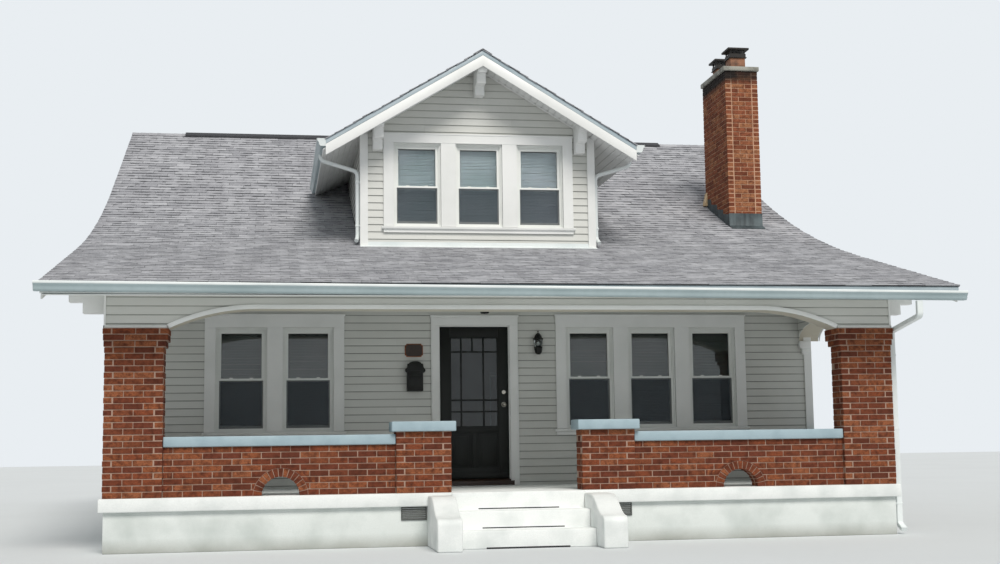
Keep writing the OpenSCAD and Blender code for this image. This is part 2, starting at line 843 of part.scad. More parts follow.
module door_glass() {
    mid = leaf_in + leaf_t / 2;
    color("lightsteelblue") placed() at_door()
        box([door_glass_box[0][0], mid - glass_t / 2, door_glass_box[0][2]],
            [door_glass_box[1][0], mid + glass_t / 2, door_glass_box[1][2]]);
}

// One knob with its rose, on a face at y = 0, facing -Y
module knob() {
    rose_r = knob_r + 5;
    rose_t = 8;
    neck_r = 11;
    neck_l = 30;
    rotate([90, 0, 0]) {
        cylinder(h = rose_t, r = rose_r, $fn = 48);
        cylinder(h = neck_l, r = neck_r, $fn = 32);
        translate([0, 0, neck_l + knob_r / 2]) sphere(r = knob_r, $fn = 40);
    }
}

module door_knob() {
    stile_mid = (door_w / 2 - door_gap + door_glass_w / 2) / 2;
    color("silver") placed() at_door() translate([stile_mid, 0, floor_h + knob_h]) {
        translate([0, leaf_in, 0]) knob();
        translate([0, leaf_in + leaf_t, 0]) mirror([0, 1, 0]) knob();
    }
}

// Roof

// The attic space of the dormer, which the main roof is open to
module dormer_room() {
    intersection() {
        box([-dormer_x + dormer_t, dormer_y + dormer_t, 0], [dormer_x - dormer_t, ridge_y, far]);
        below_dormer(dormer_roof_t);
    }
}

module main_roof() {
    color("darkgray") placed() difference() {
        along_x(-roof_x, roof_x)
            polygon(concat(roof_line, reversed(lowered(roof_line, roof_t))));
        dormer_room();
        chimney_space();
    }
}

module ridge_vent() {
    drop = vent_w * tan(main_pitch);
    color("dimgray") placed() difference() {
        along_x(-vent_x, vent_x)
            polygon([[ridge_y - vent_w, ridge_z - drop - vent_h], [ridge_y + vent_w, ridge_z - drop - vent_h],
                [ridge_y + vent_w, ridge_z - drop + vent_h], [ridge_y, ridge_z + vent_h],
                [ridge_y - vent_w, ridge_z - drop + vent_h]]);
        below_roof(0);
    }
}

// Rake boards of the main roof and the dormer, and the eave boards that the gutters hang on
module rake_boards() {
    dormer_rake = [[-dormer_eave_x, dormer_eave_z], [0, dormer_z], [dormer_eave_x, dormer_eave_z]];
    color("white") placed() {
        both_sides() along_x(roof_x, rake_x)
            polygon(concat(roof_line, reversed(lowered(roof_line, rake_h))));
        along_y(dormer_front, dormer_front + board_t)
            polygon(concat(dormer_rake, reversed(lowered(dormer_rake, dormer_rake_h))));
        box([-roof_x, -eave_out - board_t, eave_z - roof_t], [roof_x, -eave_out, eave_z]);
        box([-roof_x, rear_eave, rear_eave_z - roof_t], [roof_x, rear_eave + board_t, rear_eave_z]);
    }
}

// A bracket of three stepped blocks that stands out along +X from x = 0, its middle at y = 0.
// The lowest step's underside is at z = 0, and the top step runs up to a height to be cut.
module bracket(low, mid, top, up) {
    half = bracket_t / 2;
    box([0, -half, 0], [low, half, bracket_step]);
    box([0, -half, bracket_step], [mid, half, 2 * bracket_step]);
    box([0, -half, 2 * bracket_step], [top, half, up]);
}

bracket_rise = 2.9 * bracket_step;            // from a bracket's foot to the roof above its middle
beam_bracket_y = 325;                         // bracket on the corner of the porch beams
dormer_bracket_in = 215;                      // from a dormer's corner to the middle of its bracket
gable_bracket_off = 2900;                     // from the ridge to a gable wall's outer brackets
bracket_end_y = 150;                          // from a corner to the middle of its bracket

module main_brackets() {
    for (y = [beam_bracket_y, ridge_y - gable_bracket_off, ridge_y, ridge_y + gable_bracket_off,
        rear_y - bracket_end_y]) {
        x = y < porch_d ? porch_x : body_x;
        reach = porch_x - x;
        foot = roof_at(y) - roof_t - bracket_rise - (y == ridge_y ? bracket_step : 0);
        translate([x, y, foot])
            bracket(bracket_low + reach, bracket_mid + reach, bracket_top + reach, 2 * bracket_rise);
    }
}

module dormer_bracket(x) {
    foot = dormer_at(x) - dormer_roof_t - bracket_rise - (x == 0 ? bracket_step / 2 : 0);
    translate([x, dormer_y, foot]) rotate([0, 0, -90])
        bracket(dormer_bracket_low, dormer_bracket_mid, dormer_bracket_top, 2 * bracket_rise);
}

module eave_brackets() {
    color("beige") placed() {
        intersection() {
            both_sides() main_brackets();
            below_roof(roof_t);
        }
        intersection() {
            for (x = [-1, 0, 1]) dormer_bracket(x * (dormer_x - dormer_bracket_in));
            below_dormer(dormer_roof_t);
        }
    }
}

// Dormer

module dormer_walls() {
    color("cornsilk") placed() difference() {
        intersection() {
            box([-dormer_x, dormer_y, 0], [dormer_x, ridge_y, far]);
            below_dormer(dormer_roof_t);
        }
        box([-dormer_x + dormer_t, dormer_y + dormer_t, 0], [dormer_x - dormer_t, far, far]);
        below_roof(0);
        translate([0, dormer_y, attic_win_z]) win_holes(3, attic_win_h);
    }
}

module dormer_roof() {
    color("darkgray") placed() difference() {
        intersection() {
            box([-dormer_eave_x, dormer_front + board_t, 0], [dormer_eave_x, ridge_y, far]);
            below_dormer(0);
        }
        below_dormer(dormer_roof_t);
        below_roof(0);
    }
}

// Gutters and downspouts

// Outline of a gutter that hangs in front of y = 0, its back's top edge at z = 0
gutter_outline = [[0, 0], [0, -gutter_h], [-0.6 * gutter_w, -gutter_h], [-gutter_w, -0.45 * gutter_h],
    [-gutter_w, 0], [-gutter_w + gutter_t, 0], [-gutter_w + gutter_t, -0.43 * gutter_h],
    [-0.6 * gutter_w + gutter_t / 2, -gutter_h + gutter_t], [-gutter_t, -gutter_h + gutter_t],
    [-gutter_t, 0]];

// A closed trough of a length along X, its middle at x = 0
module trough(length) {
    along_x(-length / 2, length / 2) polygon(gutter_outline);
    for (x = [-length / 2, length / 2 - gutter_t])
        along_x(x, x + gutter_t) polygon([for (i = [0:4]) gutter_outline[i]]);
}

// The space that a trough takes up, without its hollow
module trough_space(length) {
    along_x(-length / 2, length / 2) polygon([for (i = [0:4]) gutter_outline[i]]);
}

front_gutter_z = eave_z - 59;                 // middle of the sloping trough's top edge
front_fall = asin(gutter_fall / (2 * gutter_x));
rear_gutter_z = rear_eave_z - 30;
dormer_gutter_z = dormer_eave_z - 10;
dormer_gutter_clear = 20;                     // from the end of a dormer's gutter down to the main roof
dormer_gutter_end = bend_y
    + (dormer_gutter_z - gutter_h - dormer_gutter_clear - bend_z) / tan(main_pitch);
dormer_gutter_l = dormer_gutter_end - dormer_front;

module at_front_gutter() {
    translate([0, -eave_out - board_t, front_gutter_z]) rotate([0, front_fall, 0]) children();
}

module at_rear_gutter() {
    translate([0, rear_eave + board_t, rear_gutter_z]) rotate([0, 0, 180]) children();
}

module at_dormer_gutters() {
    both_sides()
        translate([dormer_eave_x, dormer_front + dormer_gutter_l / 2, dormer_gutter_z])
            rotate([0, 0, 90]) children();
}

module gutters() {
    color("white") placed() {
        at_front_gutter() trough(2 * gutter_x);
        at_rear_gutter() trough(2 * gutter_x);
        at_dormer_gutters() trough(dormer_gutter_l);
    }
}

// The outline of a band of a width along a list of points in a plane, mitred at its bends
function side_of(a, b) = let (d = (b - a) / norm(b - a)) [-d[1], d[0]];
function miter(p, i) =
    let (before = i > 0 ? side_of(p[i - 1], p[i]) : side_of(p[0], p[1]),
        after = i < len(p) - 1 ? side_of(p[i], p[i + 1]) : before, m = before + after)
    2 * m / (m * m);
function band(p, w) = concat([for (i = [0:len(p) - 1]) p[i] + miter(p, i) * w / 2],
    [for (i = [len(p) - 1:-1:0]) p[i] - miter(p, i) * w / 2]);

// The downspouts start at the gutters' undersides and stand against the slab and the walls
module downspouts() {
    outlet = 50;                              // from a gutter's back to the middle of its outlet
    neck = 120;                               // straight stretch under an outlet
    bend_drop = 280;                          // height that the slanted stretch takes
    dormer_neck = 60;
    dormer_drop = 150;
    foot_z = 120;                             // height of the elbow at the foot
    foot_run = 120;                           // how far that elbow reaches
    foot_drop = 60;
    front = [-eave_out - board_t - outlet, front_gutter_z - gutter_h];
    front_y = 130;
    front_bend = front[1] - neck - bend_drop;
    rear = [rear_eave + board_t + outlet, rear_gutter_z - gutter_h];
    rear_foot_y = rear_y + spout_d / 2;
    rear_bend = rear[1] - neck - bend_drop;
    rear_spout_x = body_x - 150;
    dormer = [dormer_eave_x + outlet, dormer_gutter_z - gutter_h];
    dormer_foot_x = dormer_x + spout_d / 2;
    dormer_spout_y = dormer_y + 50;
    color("white") placed() difference() {
        union() {
            along_x(slab_x, slab_x + spout_w)
                polygon(band([front, front - [0, neck], [front_y, front_bend], [front_y, foot_z],
                    [front_y - foot_run, foot_z - foot_drop]], spout_d));
            along_x(rear_spout_x - spout_w / 2, rear_spout_x + spout_w / 2)
                polygon(band([rear, rear - [0, neck], [rear_foot_y, rear_bend], [rear_foot_y, foot_z],
                    [rear_foot_y + foot_run, foot_z - foot_drop]], spout_d));
            both_sides() along_y(dormer_spout_y, dormer_spout_y + spout_w)
                polygon(band([dormer, dormer - [0, dormer_neck],
                    [dormer_foot_x, dormer[1] - dormer_neck - dormer_drop],
                    [dormer_foot_x, roof_at(dormer_spout_y) + spout_w]], spout_d));
        }
        at_front_gutter() trough_space(2 * gutter_x);
    }
}

// Chimney

module chimney_stack() {
    flue_hole = flue_w - 2 * flue_t;
    flue_depth = 600;
    color("sienna") placed() difference() {
        box([chimney_x - chimney_w / 2, chimney_y, 0],
            [chimney_x + chimney_w / 2, chimney_y + chimney_d, chimney_top]);
        for (dy = [-flue_off, flue_off]) translate([chimney_x, chimney_mid_y + dy, chimney_top - flue_depth])
            box([-flue_hole / 2, -flue_hole / 2, 0], [flue_hole / 2, flue_hole / 2, flue_depth + eps]);
    }
}

module chimney_cap() {
    color("lightgray") placed() difference() {
        box([chimney_x - chimney_w / 2 - cap_lip, chimney_y - cap_lip, chimney_top],
            [chimney_x + chimney_w / 2 + cap_lip, chimney_y + chimney_d + cap_lip, cap_top]);
        for (dy = [-flue_off, flue_off]) translate([chimney_x, chimney_mid_y + dy, chimney_top - eps])
            box([-flue_w / 2, -flue_w / 2, 0], [flue_w / 2, flue_w / 2, cap_t + 2 * eps]);
    }
}

module chimney_flues() {
    inner = flue_w - 2 * flue_t;
    color("peru") placed() for (dy = [-flue_off, flue_off])
        translate([chimney_x, chimney_mid_y + dy, chimney_top]) difference() {
            box([-flue_w / 2, -flue_w / 2, 0], [flue_w / 2, flue_w / 2, cap_t + flue_h]);
            box([-inner / 2, -inner / 2, -eps], [inner / 2, inner / 2, far]);
        }
}

// A plate on four legs over each flue
module flue_caps() {
    leg = 20;
    leg_h = 60;
    plate_t = 30;
    plate_lip = 50;
    color("dimgray") placed() for (dy = [-flue_off, flue_off])
        translate([chimney_x, chimney_mid_y + dy, cap_top + flue_h]) {
            for (x = [-1, 1], y = [-1, 1])
                translate([x * (flue_w - leg) / 2, y * (flue_w - leg) / 2, leg_h / 2])
                    cube([leg, leg, leg_h], center = true);
            translate([0, 0, leg_h])
                box([-flue_w / 2 - plate_lip, -flue_w / 2 - plate_lip, 0],
                    [flue_w / 2 + plate_lip, flue_w / 2 + plate_lip, plate_t]);
        }
}

// Fittings on the front wall and the porch ceiling

module wall_lantern() {
    x = 687;
    low_z = floor_h + 1710;
    body_h = 0.62 * lantern_h;
    body_y = 75;
    color("dimgray") placed() on_front(x, low_z) {
        box([-35, -18, 0.2 * lantern_h], [35, 0, 0.75 * lantern_h]);
        box([-12, -body_y, 0.66 * lantern_h], [12, 0, 0.72 * lantern_h]);
        translate([0, -body_y, 0]) {
            cylinder(h = body_h, r1 = 0.3 * lantern_w, r2 = 0.44 * lantern_w, $fn = 6);
            translate([0, 0, body_h]) cylinder(h = 0.24 * lantern_h, r1 = lantern_w / 2, r2 = 12, $fn = 6);
            translate([0, 0, 0.8 * lantern_h]) cylinder(h = 0.2 * lantern_h, r = 8, $fn = 16);
        }
    }
}

// A six-sided lantern that narrows from its plate on the ceiling to its foot
module porch_light() {
    x = -190;
    plate_t = 20;
    plate_lip = 8;
    foot_t = 10;
    cage_h = light_h - plate_t - foot_t;
    color("dimgray") placed() translate([x, porch_d / 2, ceiling_z - light_h]) {
        cylinder(h = foot_t, r = light_foot / 2, $fn = 6);
        translate([0, 0, foot_t]) cylinder(h = cage_h, r1 = light_foot / 2, r2 = light_w / 2, $fn = 6);
        translate([0, 0, foot_t + cage_h]) cylinder(h = plate_t, r = light_w / 2 + plate_lip, $fn = 48);
    }
}

module mailbox() {
    x = -960;
    low_z = floor_h + 1236;
    lid_h = 110;
    lip = 12;
    half = mailbox_w / 2;
    lid_z = mailbox_h - lid_h / 2;
    color("black") placed() on_front(x, low_z) {
        box([-half + lip, -mailbox_d, 0], [half - lip, 0, mailbox_h - lid_h]);
        box([-half, -mailbox_d - lip, mailbox_h - lid_h], [half, 0, lid_z]);
        translate([0, 0, lid_z]) rotate([90, 0, 0]) intersection() {
            cylinder(h = mailbox_d, r = half - lip, $fn = 48);
            translate([-half, 0, 0]) cube([2 * half, lid_h / 2, mailbox_d]);
        }
    }
}

module number_plaque() {
    x = -967;
    low_z = floor_h + 1688;
    corner_r = 30;
    plaque_t = 14;
    half = plaque_w / 2 - corner_r;
    color("dimgray") placed() on_front(x, low_z) rotate([90, 0, 0]) linear_extrude(height = plaque_t) {
        translate([-plaque_w / 2, corner_r]) square([plaque_w, plaque_h - 2 * corner_r]);
        translate([-half, 0]) square([2 * half, plaque_h]);
        for (sx = [-half, half], sy = [corner_r, plaque_h - corner_r])
            translate([sx, sy]) circle(r = corner_r, $fn = 32);
    }
}

foundation();
porch_base();
porch_slab();
front_steps();
step_cheeks();
corner_piers();
entry_piers();
porch_front_walls();
porch_side_walls();
copings();
porch_front_beam();
porch_side_beams();
arch_trims();
beam_capitals();
porch_ceiling();
house_floor();
attic_floor();
front_wall_left();
front_wall_right();
front_wall_over_door();
left_wall();
right_wall();
rear_wall();
front_windows();
side_windows();
rear_windows();
dormer_windows();
window_glass();
door_frame();
front_door();
door_glass();
door_knob();
main_roof();
ridge_vent();
rake_boards();
eave_brackets();
dormer_walls();
dormer_roof();
gutters();
downspouts();
chimney_stack();
chimney_cap();
chimney_flues();
flue_caps();
wall_lantern();
porch_light();
mailbox();
number_plaque();
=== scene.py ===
# %% [markdown]
# A bungalow with a deep brick porch, dressed around its construction model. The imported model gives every
# piece its real place and size, and nothing here moves it. This script adds what a visitor would see:
# bricks, shingles, lap siding, sashes, gutters, and the paint on them. Lengths are metres unless a name
# says otherwise.

# %% The frame
import math
import random

import bmesh
import bpy
from mathutils import Euler, Matrix, Vector


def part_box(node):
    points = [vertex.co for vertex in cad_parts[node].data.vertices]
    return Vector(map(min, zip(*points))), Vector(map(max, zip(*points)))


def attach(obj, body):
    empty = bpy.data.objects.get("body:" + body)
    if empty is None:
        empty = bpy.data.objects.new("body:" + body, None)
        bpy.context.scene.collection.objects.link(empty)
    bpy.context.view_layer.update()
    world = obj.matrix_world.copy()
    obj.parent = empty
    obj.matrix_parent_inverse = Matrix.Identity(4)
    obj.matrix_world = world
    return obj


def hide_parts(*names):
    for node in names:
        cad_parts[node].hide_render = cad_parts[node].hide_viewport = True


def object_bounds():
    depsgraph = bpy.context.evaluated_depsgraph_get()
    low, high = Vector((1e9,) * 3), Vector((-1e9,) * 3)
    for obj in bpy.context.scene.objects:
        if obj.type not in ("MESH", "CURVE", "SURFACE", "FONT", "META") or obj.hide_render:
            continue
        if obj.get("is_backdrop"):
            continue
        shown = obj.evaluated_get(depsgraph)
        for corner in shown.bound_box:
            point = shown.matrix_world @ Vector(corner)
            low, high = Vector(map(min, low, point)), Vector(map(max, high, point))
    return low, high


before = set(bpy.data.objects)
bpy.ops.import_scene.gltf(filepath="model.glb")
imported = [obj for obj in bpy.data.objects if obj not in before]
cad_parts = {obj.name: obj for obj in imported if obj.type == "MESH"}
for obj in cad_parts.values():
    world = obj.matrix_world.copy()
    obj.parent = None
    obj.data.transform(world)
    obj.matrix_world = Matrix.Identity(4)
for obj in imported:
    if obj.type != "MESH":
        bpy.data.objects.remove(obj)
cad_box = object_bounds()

up = Vector((0, 0, 1))

# %% [markdown]
# The camera comes first. Lines that are level and parallel on the house meet at vanishing points in the
# photo, and these give the focal length, the turn and the tilt. The size of the bricks gives the
# distance.

# %% The camera
image_w = 1000  # the photo's width in pixels
focal_px = 1383.6
sensor_mm = 36
eye = Vector((-2.799, -23.0915, 1.196))
yaw, pitch, roll = (math.radians(a) for a in (9.374, 6.490, -0.761))

camera = bpy.data.objects.new("camera", bpy.data.cameras.new("camera"))
bpy.context.scene.collection.objects.link(camera)
bpy.context.scene.camera = camera
camera.data.sensor_fit = "HORIZONTAL"
camera.data.sensor_width = sensor_mm
camera.data.lens = sensor_mm * focal_px / image_w
camera.data.clip_end = 200

ahead = Vector((math.sin(yaw) * math.cos(pitch), math.cos(yaw) * math.cos(pitch), math.sin(pitch)))
aside = Vector((math.cos(yaw), -math.sin(yaw), 0))
over = aside.cross(ahead)
cam_x = aside * math.cos(roll) + over * math.sin(roll)
cam_y = over * math.cos(roll) - aside * math.sin(roll)
camera.matrix_world = Matrix.Translation(eye) @ Matrix((cam_x, cam_y, -ahead)).transposed().to_4x4()
print("camera: lens %.1f mm at %s" % (camera.data.lens, tuple(round(c, 2) for c in eye)))

# %% [markdown]
# Materials are node trees. One helper turns the hex colour that a designer reads into the linear values
# that a shader adds up, and one adds a node, sets it and links it.

# %% Colour and node helpers
def linear(colour):
    """An sRGB hex colour as the linear RGBA that shaders work in."""
    parts = [int(colour[i:i + 2], 16) / 255 for i in (1, 3, 5)]
    return [p / 12.92 if p <= 0.04045 else ((p + 0.055) / 1.055) ** 2.4 for p in parts] + [1.0]


def add(tree, kind, inputs=None, **settings):
    """Adds a node. Settings are its own fields; inputs are values, or the sockets or nodes that feed it."""
    made = tree.nodes.new(kind)
    for field, value in settings.items():
        setattr(made, field, value)
    for key, value in (inputs or {}).items():
        value = value.outputs[0] if isinstance(value, bpy.types.Node) else value
        if isinstance(value, bpy.types.NodeSocket):
            tree.links.new(value, made.inputs[key])
        else:
            made.inputs[key].default_value = value
    return made


def surface(name, **sockets):
    """A new material: its tree, its shader with constant sockets set, and the object's own coordinates."""
    material = bpy.data.materials.new(name)
    material.use_nodes = True
    tree = material.node_tree
    tree.nodes.clear()
    shader = add(tree, "ShaderNodeBsdfPrincipled")
    for socket, value in sockets.items():
        shader.inputs[socket.replace("_", " ")].default_value = value
    add(tree, "ShaderNodeOutputMaterial", {"Surface": shader})
    place = add(tree, "ShaderNodeTexCoord").outputs["Object"]
    return material, tree, shader, place


def blend_by(tree, factor, low, high):
    """Mixes two colours by a factor. A colour is a hex string or a socket."""
    low, high = (linear(colour) if isinstance(colour, str) else colour for colour in (low, high))
    return add(tree, "ShaderNodeMix", {0: factor, 6: low, 7: high}, data_type="RGBA").outputs[2]


def spread(tree, value, low, high, to_low=0.0, to_high=1.0):
    """Stretches a stretch of values to another, and stops at its ends."""
    return add(tree, "ShaderNodeMapRange", {0: value, 1: low, 2: high, 3: to_low, 4: to_high}).outputs[0]


def by_shade(tree, tones):
    """A colour for each board, tab or brick by its "shade": a few tones blend, and many come one by one."""
    stepped = len(tones) > 3
    ramp = add(tree, "ShaderNodeValToRGB", {
        "Fac": add(tree, "ShaderNodeAttribute", attribute_name="shade").outputs["Fac"]})
    ramp.color_ramp.interpolation = "CONSTANT" if stepped else "LINEAR"
    while len(ramp.color_ramp.elements) < len(tones):
        ramp.color_ramp.elements.new(0.5)
    for i, tone in enumerate(tones):
        ramp.color_ramp.elements[i].position = i / (len(tones) if stepped else len(tones) - 1)
        ramp.color_ramp.elements[i].color = linear(tone)
    return ramp


# %% [markdown]
# Most of the house is painted, and old outdoor paint is never one colour. Rain leaves broad pale and
# dark patches, and the brush or the casting leaves a fine grain. One recipe makes both: a slow noise for
# the patches and a fast one for the grain, with sizes in millimetres.

# %% The recipe for weathered finishes
def weathered(name, colour, stain, patch_mm, grain_mm, rough, relief_mm, stretch=(1, 1, 1), tones=(),
              tone_of=0.5, grain_part=0.35, **sockets):
    """A finish with stains, a grain and a relief. Tones colour single boards or bricks."""
    material, tree, shader, place = surface(name, **sockets)
    patches = add(tree, "ShaderNodeTexNoise", {"Vector": place, "Scale": 1000 / patch_mm, "Detail": 4.0})
    drawn = add(tree, "ShaderNodeMapping", {"Vector": place, "Scale": stretch})
    grain = add(tree, "ShaderNodeTexNoise", {"Vector": drawn, "Scale": 1000 / grain_mm, "Detail": 3.0})
    if tones:
        colour = blend_by(tree, tone_of, colour, by_shade(tree, tones))
    stained = blend_by(tree, spread(tree, patches, 0.45, 0.75), colour, stain)
    grained = blend_by(tree, spread(tree, grain, 0.35, 0.75, 0.0, grain_part), stained, stain)
    tree.links.new(grained, shader.inputs["Base Color"])
    dulled = spread(tree, patches, 0.3, 0.7, rough - 0.06, rough + 0.08)
    tree.links.new(dulled, shader.inputs["Roughness"])
    bump = add(tree, "ShaderNodeBump", {"Height": grain, "Distance": relief_mm / 1000, "Strength": 1.0})
    tree.links.new(bump.outputs[0], shader.inputs["Normal"])
    return material


def stain_and_shade_by_height(material, colour, low, high, strength, repeat=0.0, base=0.0):
    """Darkens a material towards a colour as its height goes from low to high; with repeat, once in every
    such distance. It paints stains, and painted shade under the siding's laps.
    """
    tree = material.node_tree
    shader = next(node for node in tree.nodes if node.type == "BSDF_PRINCIPLED")
    place = next(node for node in tree.nodes if node.type == "TEX_COORD").outputs["Object"]
    level = add(tree, "ShaderNodeSeparateXYZ", {"Vector": place}).outputs["Z"]
    if repeat:
        above = add(tree, "ShaderNodeMath", {0: level, 1: base}, operation="SUBTRACT")
        counted = add(tree, "ShaderNodeMath", {0: above, 1: repeat}, operation="DIVIDE")
        level = add(tree, "ShaderNodeMath", {0: counted}, operation="FRACT").outputs[0]
    patchy = add(tree, "ShaderNodeTexNoise", {"Vector": place, "Scale": 1000 / 700, "Detail": 3.0})
    most = spread(tree, patchy, 0.35, 0.6, strength * 0.65, strength)
    amount = add(tree, "ShaderNodeMath", {0: spread(tree, level, low, high), 1: most}, operation="MULTIPLY")
    shown = shader.inputs["Base Color"].links[0].from_socket
    tree.links.new(blend_by(tree, amount, shown, colour), shader.inputs["Base Color"])


# %% Paints
# Exterior wood paint, brushed on pine boards: soft white, a slight sheen, brush marks along the grain.
trim_paint = weathered("painted_pine_trim", "#f0f1ef", "#e2e4e1", 700, 9, 0.46, 0.25, (1, 1, 6))
# Aluminium lap siding, enamelled in a pale warm white: each board is a touch lighter or darker.
# Painted shade: a dark grey band in the 12 mm just below the lip of the board above deepens each board's
# shadow line.
siding_look = ("#d9dad5", "#cbccc6", 900, 6, 0.42, 0.15, (1, 1, 4), ("#d2d3cd", "#e0e1dc"))
siding_enamel = weathered("enamelled_lap_siding", *siding_look)
dormer_enamel = weathered("enamelled_lap_siding_dormer", *siding_look)
board_exposure = 0.100
course_base, dormer_base = 0.642, 3.826  # the height of one lap on the walls, and of one on the dormer
# The painted shade under each lap, stronger on the walls than on the dormer.
for enamel, lap_shade, base in ((siding_enamel, 0.75, course_base), (dormer_enamel, 0.55, dormer_base)):
    stain_and_shade_by_height(enamel, "#62645c", 0.86, 0.92, lap_shade, board_exposure, base)
# White masonry paint, rolled on concrete: chalky, with worn grey patches.
white_masonry = weathered("painted_concrete_white", "#eef1ef", "#d5dad8", 340, 11, 0.62, 2.0)
# Blue-grey masonry paint on the cast coping stones.
blue_masonry = weathered("painted_concrete_blue", "#a2b6be", "#8ea3ac", 260, 5, 0.55, 0.5)
# Limewashed foundation wall: a greyish white that rain has darkened near the ground.
foundation_wash = weathered("limewashed_foundation", "#dfe4e1", "#c3cac6", 420, 11, 0.75, 1.0)
stain_and_shade_by_height(foundation_wash, "#7d7a6c", 0.16, 0.0, 0.6)
# Enamel baked on aluminium sheet, for gutters and downspouts: smooth, with faint dust.
white_enamel = weathered("enamelled_aluminium_white", "#e9eeed", "#d3dbdb", 500, 3, 0.32, 0.04)
# The gutters' faces: the same enamel with painted shade, a blue-grey below the lip, and streaks where
# overflow has run down it.
shaded_gutter_enamel = weathered("enamelled_aluminium_painted_shade", "#b0c0c3", "#9eafb2", 900, 60, 0.36, 0.04,
                          (1, 1, 0.08))
# The same sheet in blue-grey, bent over the upper fascia boards.
blue_enamel = weathered("enamelled_aluminium_blue", "#b7c4ca", "#a2b1b8", 600, 3, 0.36, 0.05)
# Black door paint: brushed gloss with fine marks.
door_paint = weathered("painted_door_black", "#101310", "#1a1e1a", 500, 5, 0.42, 0.08, (1, 1, 8),
                       Specular_IOR_Level=0.25)
# Black enamel on pressed steel, for the lamps and the mailbox.
black_enamel = weathered("enamelled_steel_black", "#0b0d0b", "#191b17", 90, 2, 0.42, 0.05,
                         Specular_IOR_Level=0.3)
# Skimmed gypsum plaster indoors: matt and even.
plaster = weathered("skimmed_plaster", "#cfc9ba", "#bfb8a8", 1200, 8, 0.85, 0.15)
print("paints:", len(bpy.data.materials), "materials so far")

# %% [markdown]
# Bricks get their colour one by one. Each brick carries a number from 0 to 1, its shade, and a stepped
# colour ramp gives the red, orange and burnt tones that a kiln makes. Mortar, concrete and clay share
# the recipe.

# %% Masonry
# Extruded facing brick, kiln-fired: red-brown with a few orange and burnt ones, rough and matt. Fired clay
# scatters more than a polished face does, so its specular level is low.
brick_tones = ("#743c27", "#8a4a2e", "#7b432c", "#975837", "#613324", "#864c31", "#9d603f", "#6f3a29")
fired_brick = weathered("fired_clay_brick", "#7f452e", "#4c271b", 60, 16, 0.85, 2.2, (1, 1, 1.6),
                        brick_tones, 0.9, 0.75, Specular_IOR_Level=0.2)
# The chimney's bricks stand in the sun and the rain, and are bleached to orange.
chimney_tones = ("#8f5238", "#a16445", "#96583c", "#ad714e", "#79442f", "#9d5d41", "#b37b56", "#854d35")
chimney_brick = weathered("fired_clay_brick_bleached", "#955539", "#5a3223", 60, 16, 0.85, 2.2, (1, 1, 1.6),
                          chimney_tones, 0.9, 0.75, Specular_IOR_Level=0.2)
# Lime and sand mortar: pale, pinkish with brick dust, sandy to the touch.
mortar = weathered("lime_mortar", "#ab9080", "#927664", 120, 3, 0.9, 0.8)
# The chimney's joints were pointed again later: paler and more orange.
chimney_mortar = weathered("lime_mortar_pale", "#c79f83", "#a98268", 120, 3, 0.9, 0.8)
# Smoke has blackened the top course under the cap.
for sooty in (chimney_brick, chimney_mortar):
    stain_and_shade_by_height(sooty, "#241e1b", 6.66, 6.80, 1.35)
# A trowelled patch of fresh mortar at the chimney's back corner: cream and lumpy.
patch_mortar = weathered("lime_mortar_patch", "#dcc6a2", "#b99b74", 50, 6, 0.9, 2.5)
# Cast concrete of the chimney cap: grey with dark lichen.
cast_concrete = weathered("cast_concrete", "#a8a79d", "#5f605a", 130, 6, 0.85, 1.2)
# Salt-glazed clay flue liners, stained by smoke.
flue_clay = weathered("flue_clay", "#9b6a4d", "#4a3830", 120, 5, 0.7, 0.5)
# Galvanised steel of the flue caps, burnt nearly black.
burnt_steel = weathered("burnt_galvanised_steel", "#1d1c1b", "#37322d", 60, 3, 0.6, 0.2, Metallic=0.3)
# Zinc of the vents beside the steps: a dull dark grey.
weathered_zinc = weathered("weathered_zinc", "#4a4d4b", "#5d605d", 60, 3, 0.6, 0.1, Metallic=0.2)
# Sheet lead at the foot of the chimney: dull blue-grey with pale bloom.
sheet_lead = weathered("sheet_lead", "#2b3437", "#5f6b6e", 300, 45, 0.55, 0.5, (1, 1, 0.1),
                       grain_part=0.45, Metallic=0.3)
print("masonry:", len(bpy.data.materials), "materials so far")

# %% [markdown]
# Asphalt shingles are felt strips covered with crushed stone. From the street the stone reads as a fine
# sparkle, each tab has its own grey, and rain draws long streaks down the slope. A band just below the
# next row, dark stone as laminated shingles have and painted shade under the butt, is deeper under some
# tabs than others and makes the rows read as dashes. It follows the tab's own UV map. The granules are
# 1 to 2 mm, too fine to show, so they are drawn at 14 mm.

# %% Shingle granules
streak_mm = (260, 2600, 2600)  # the streaks' width across the slope, and their length down it
dash_mm = (140, 90, 90)  # the length of the dashes, and the height of a row


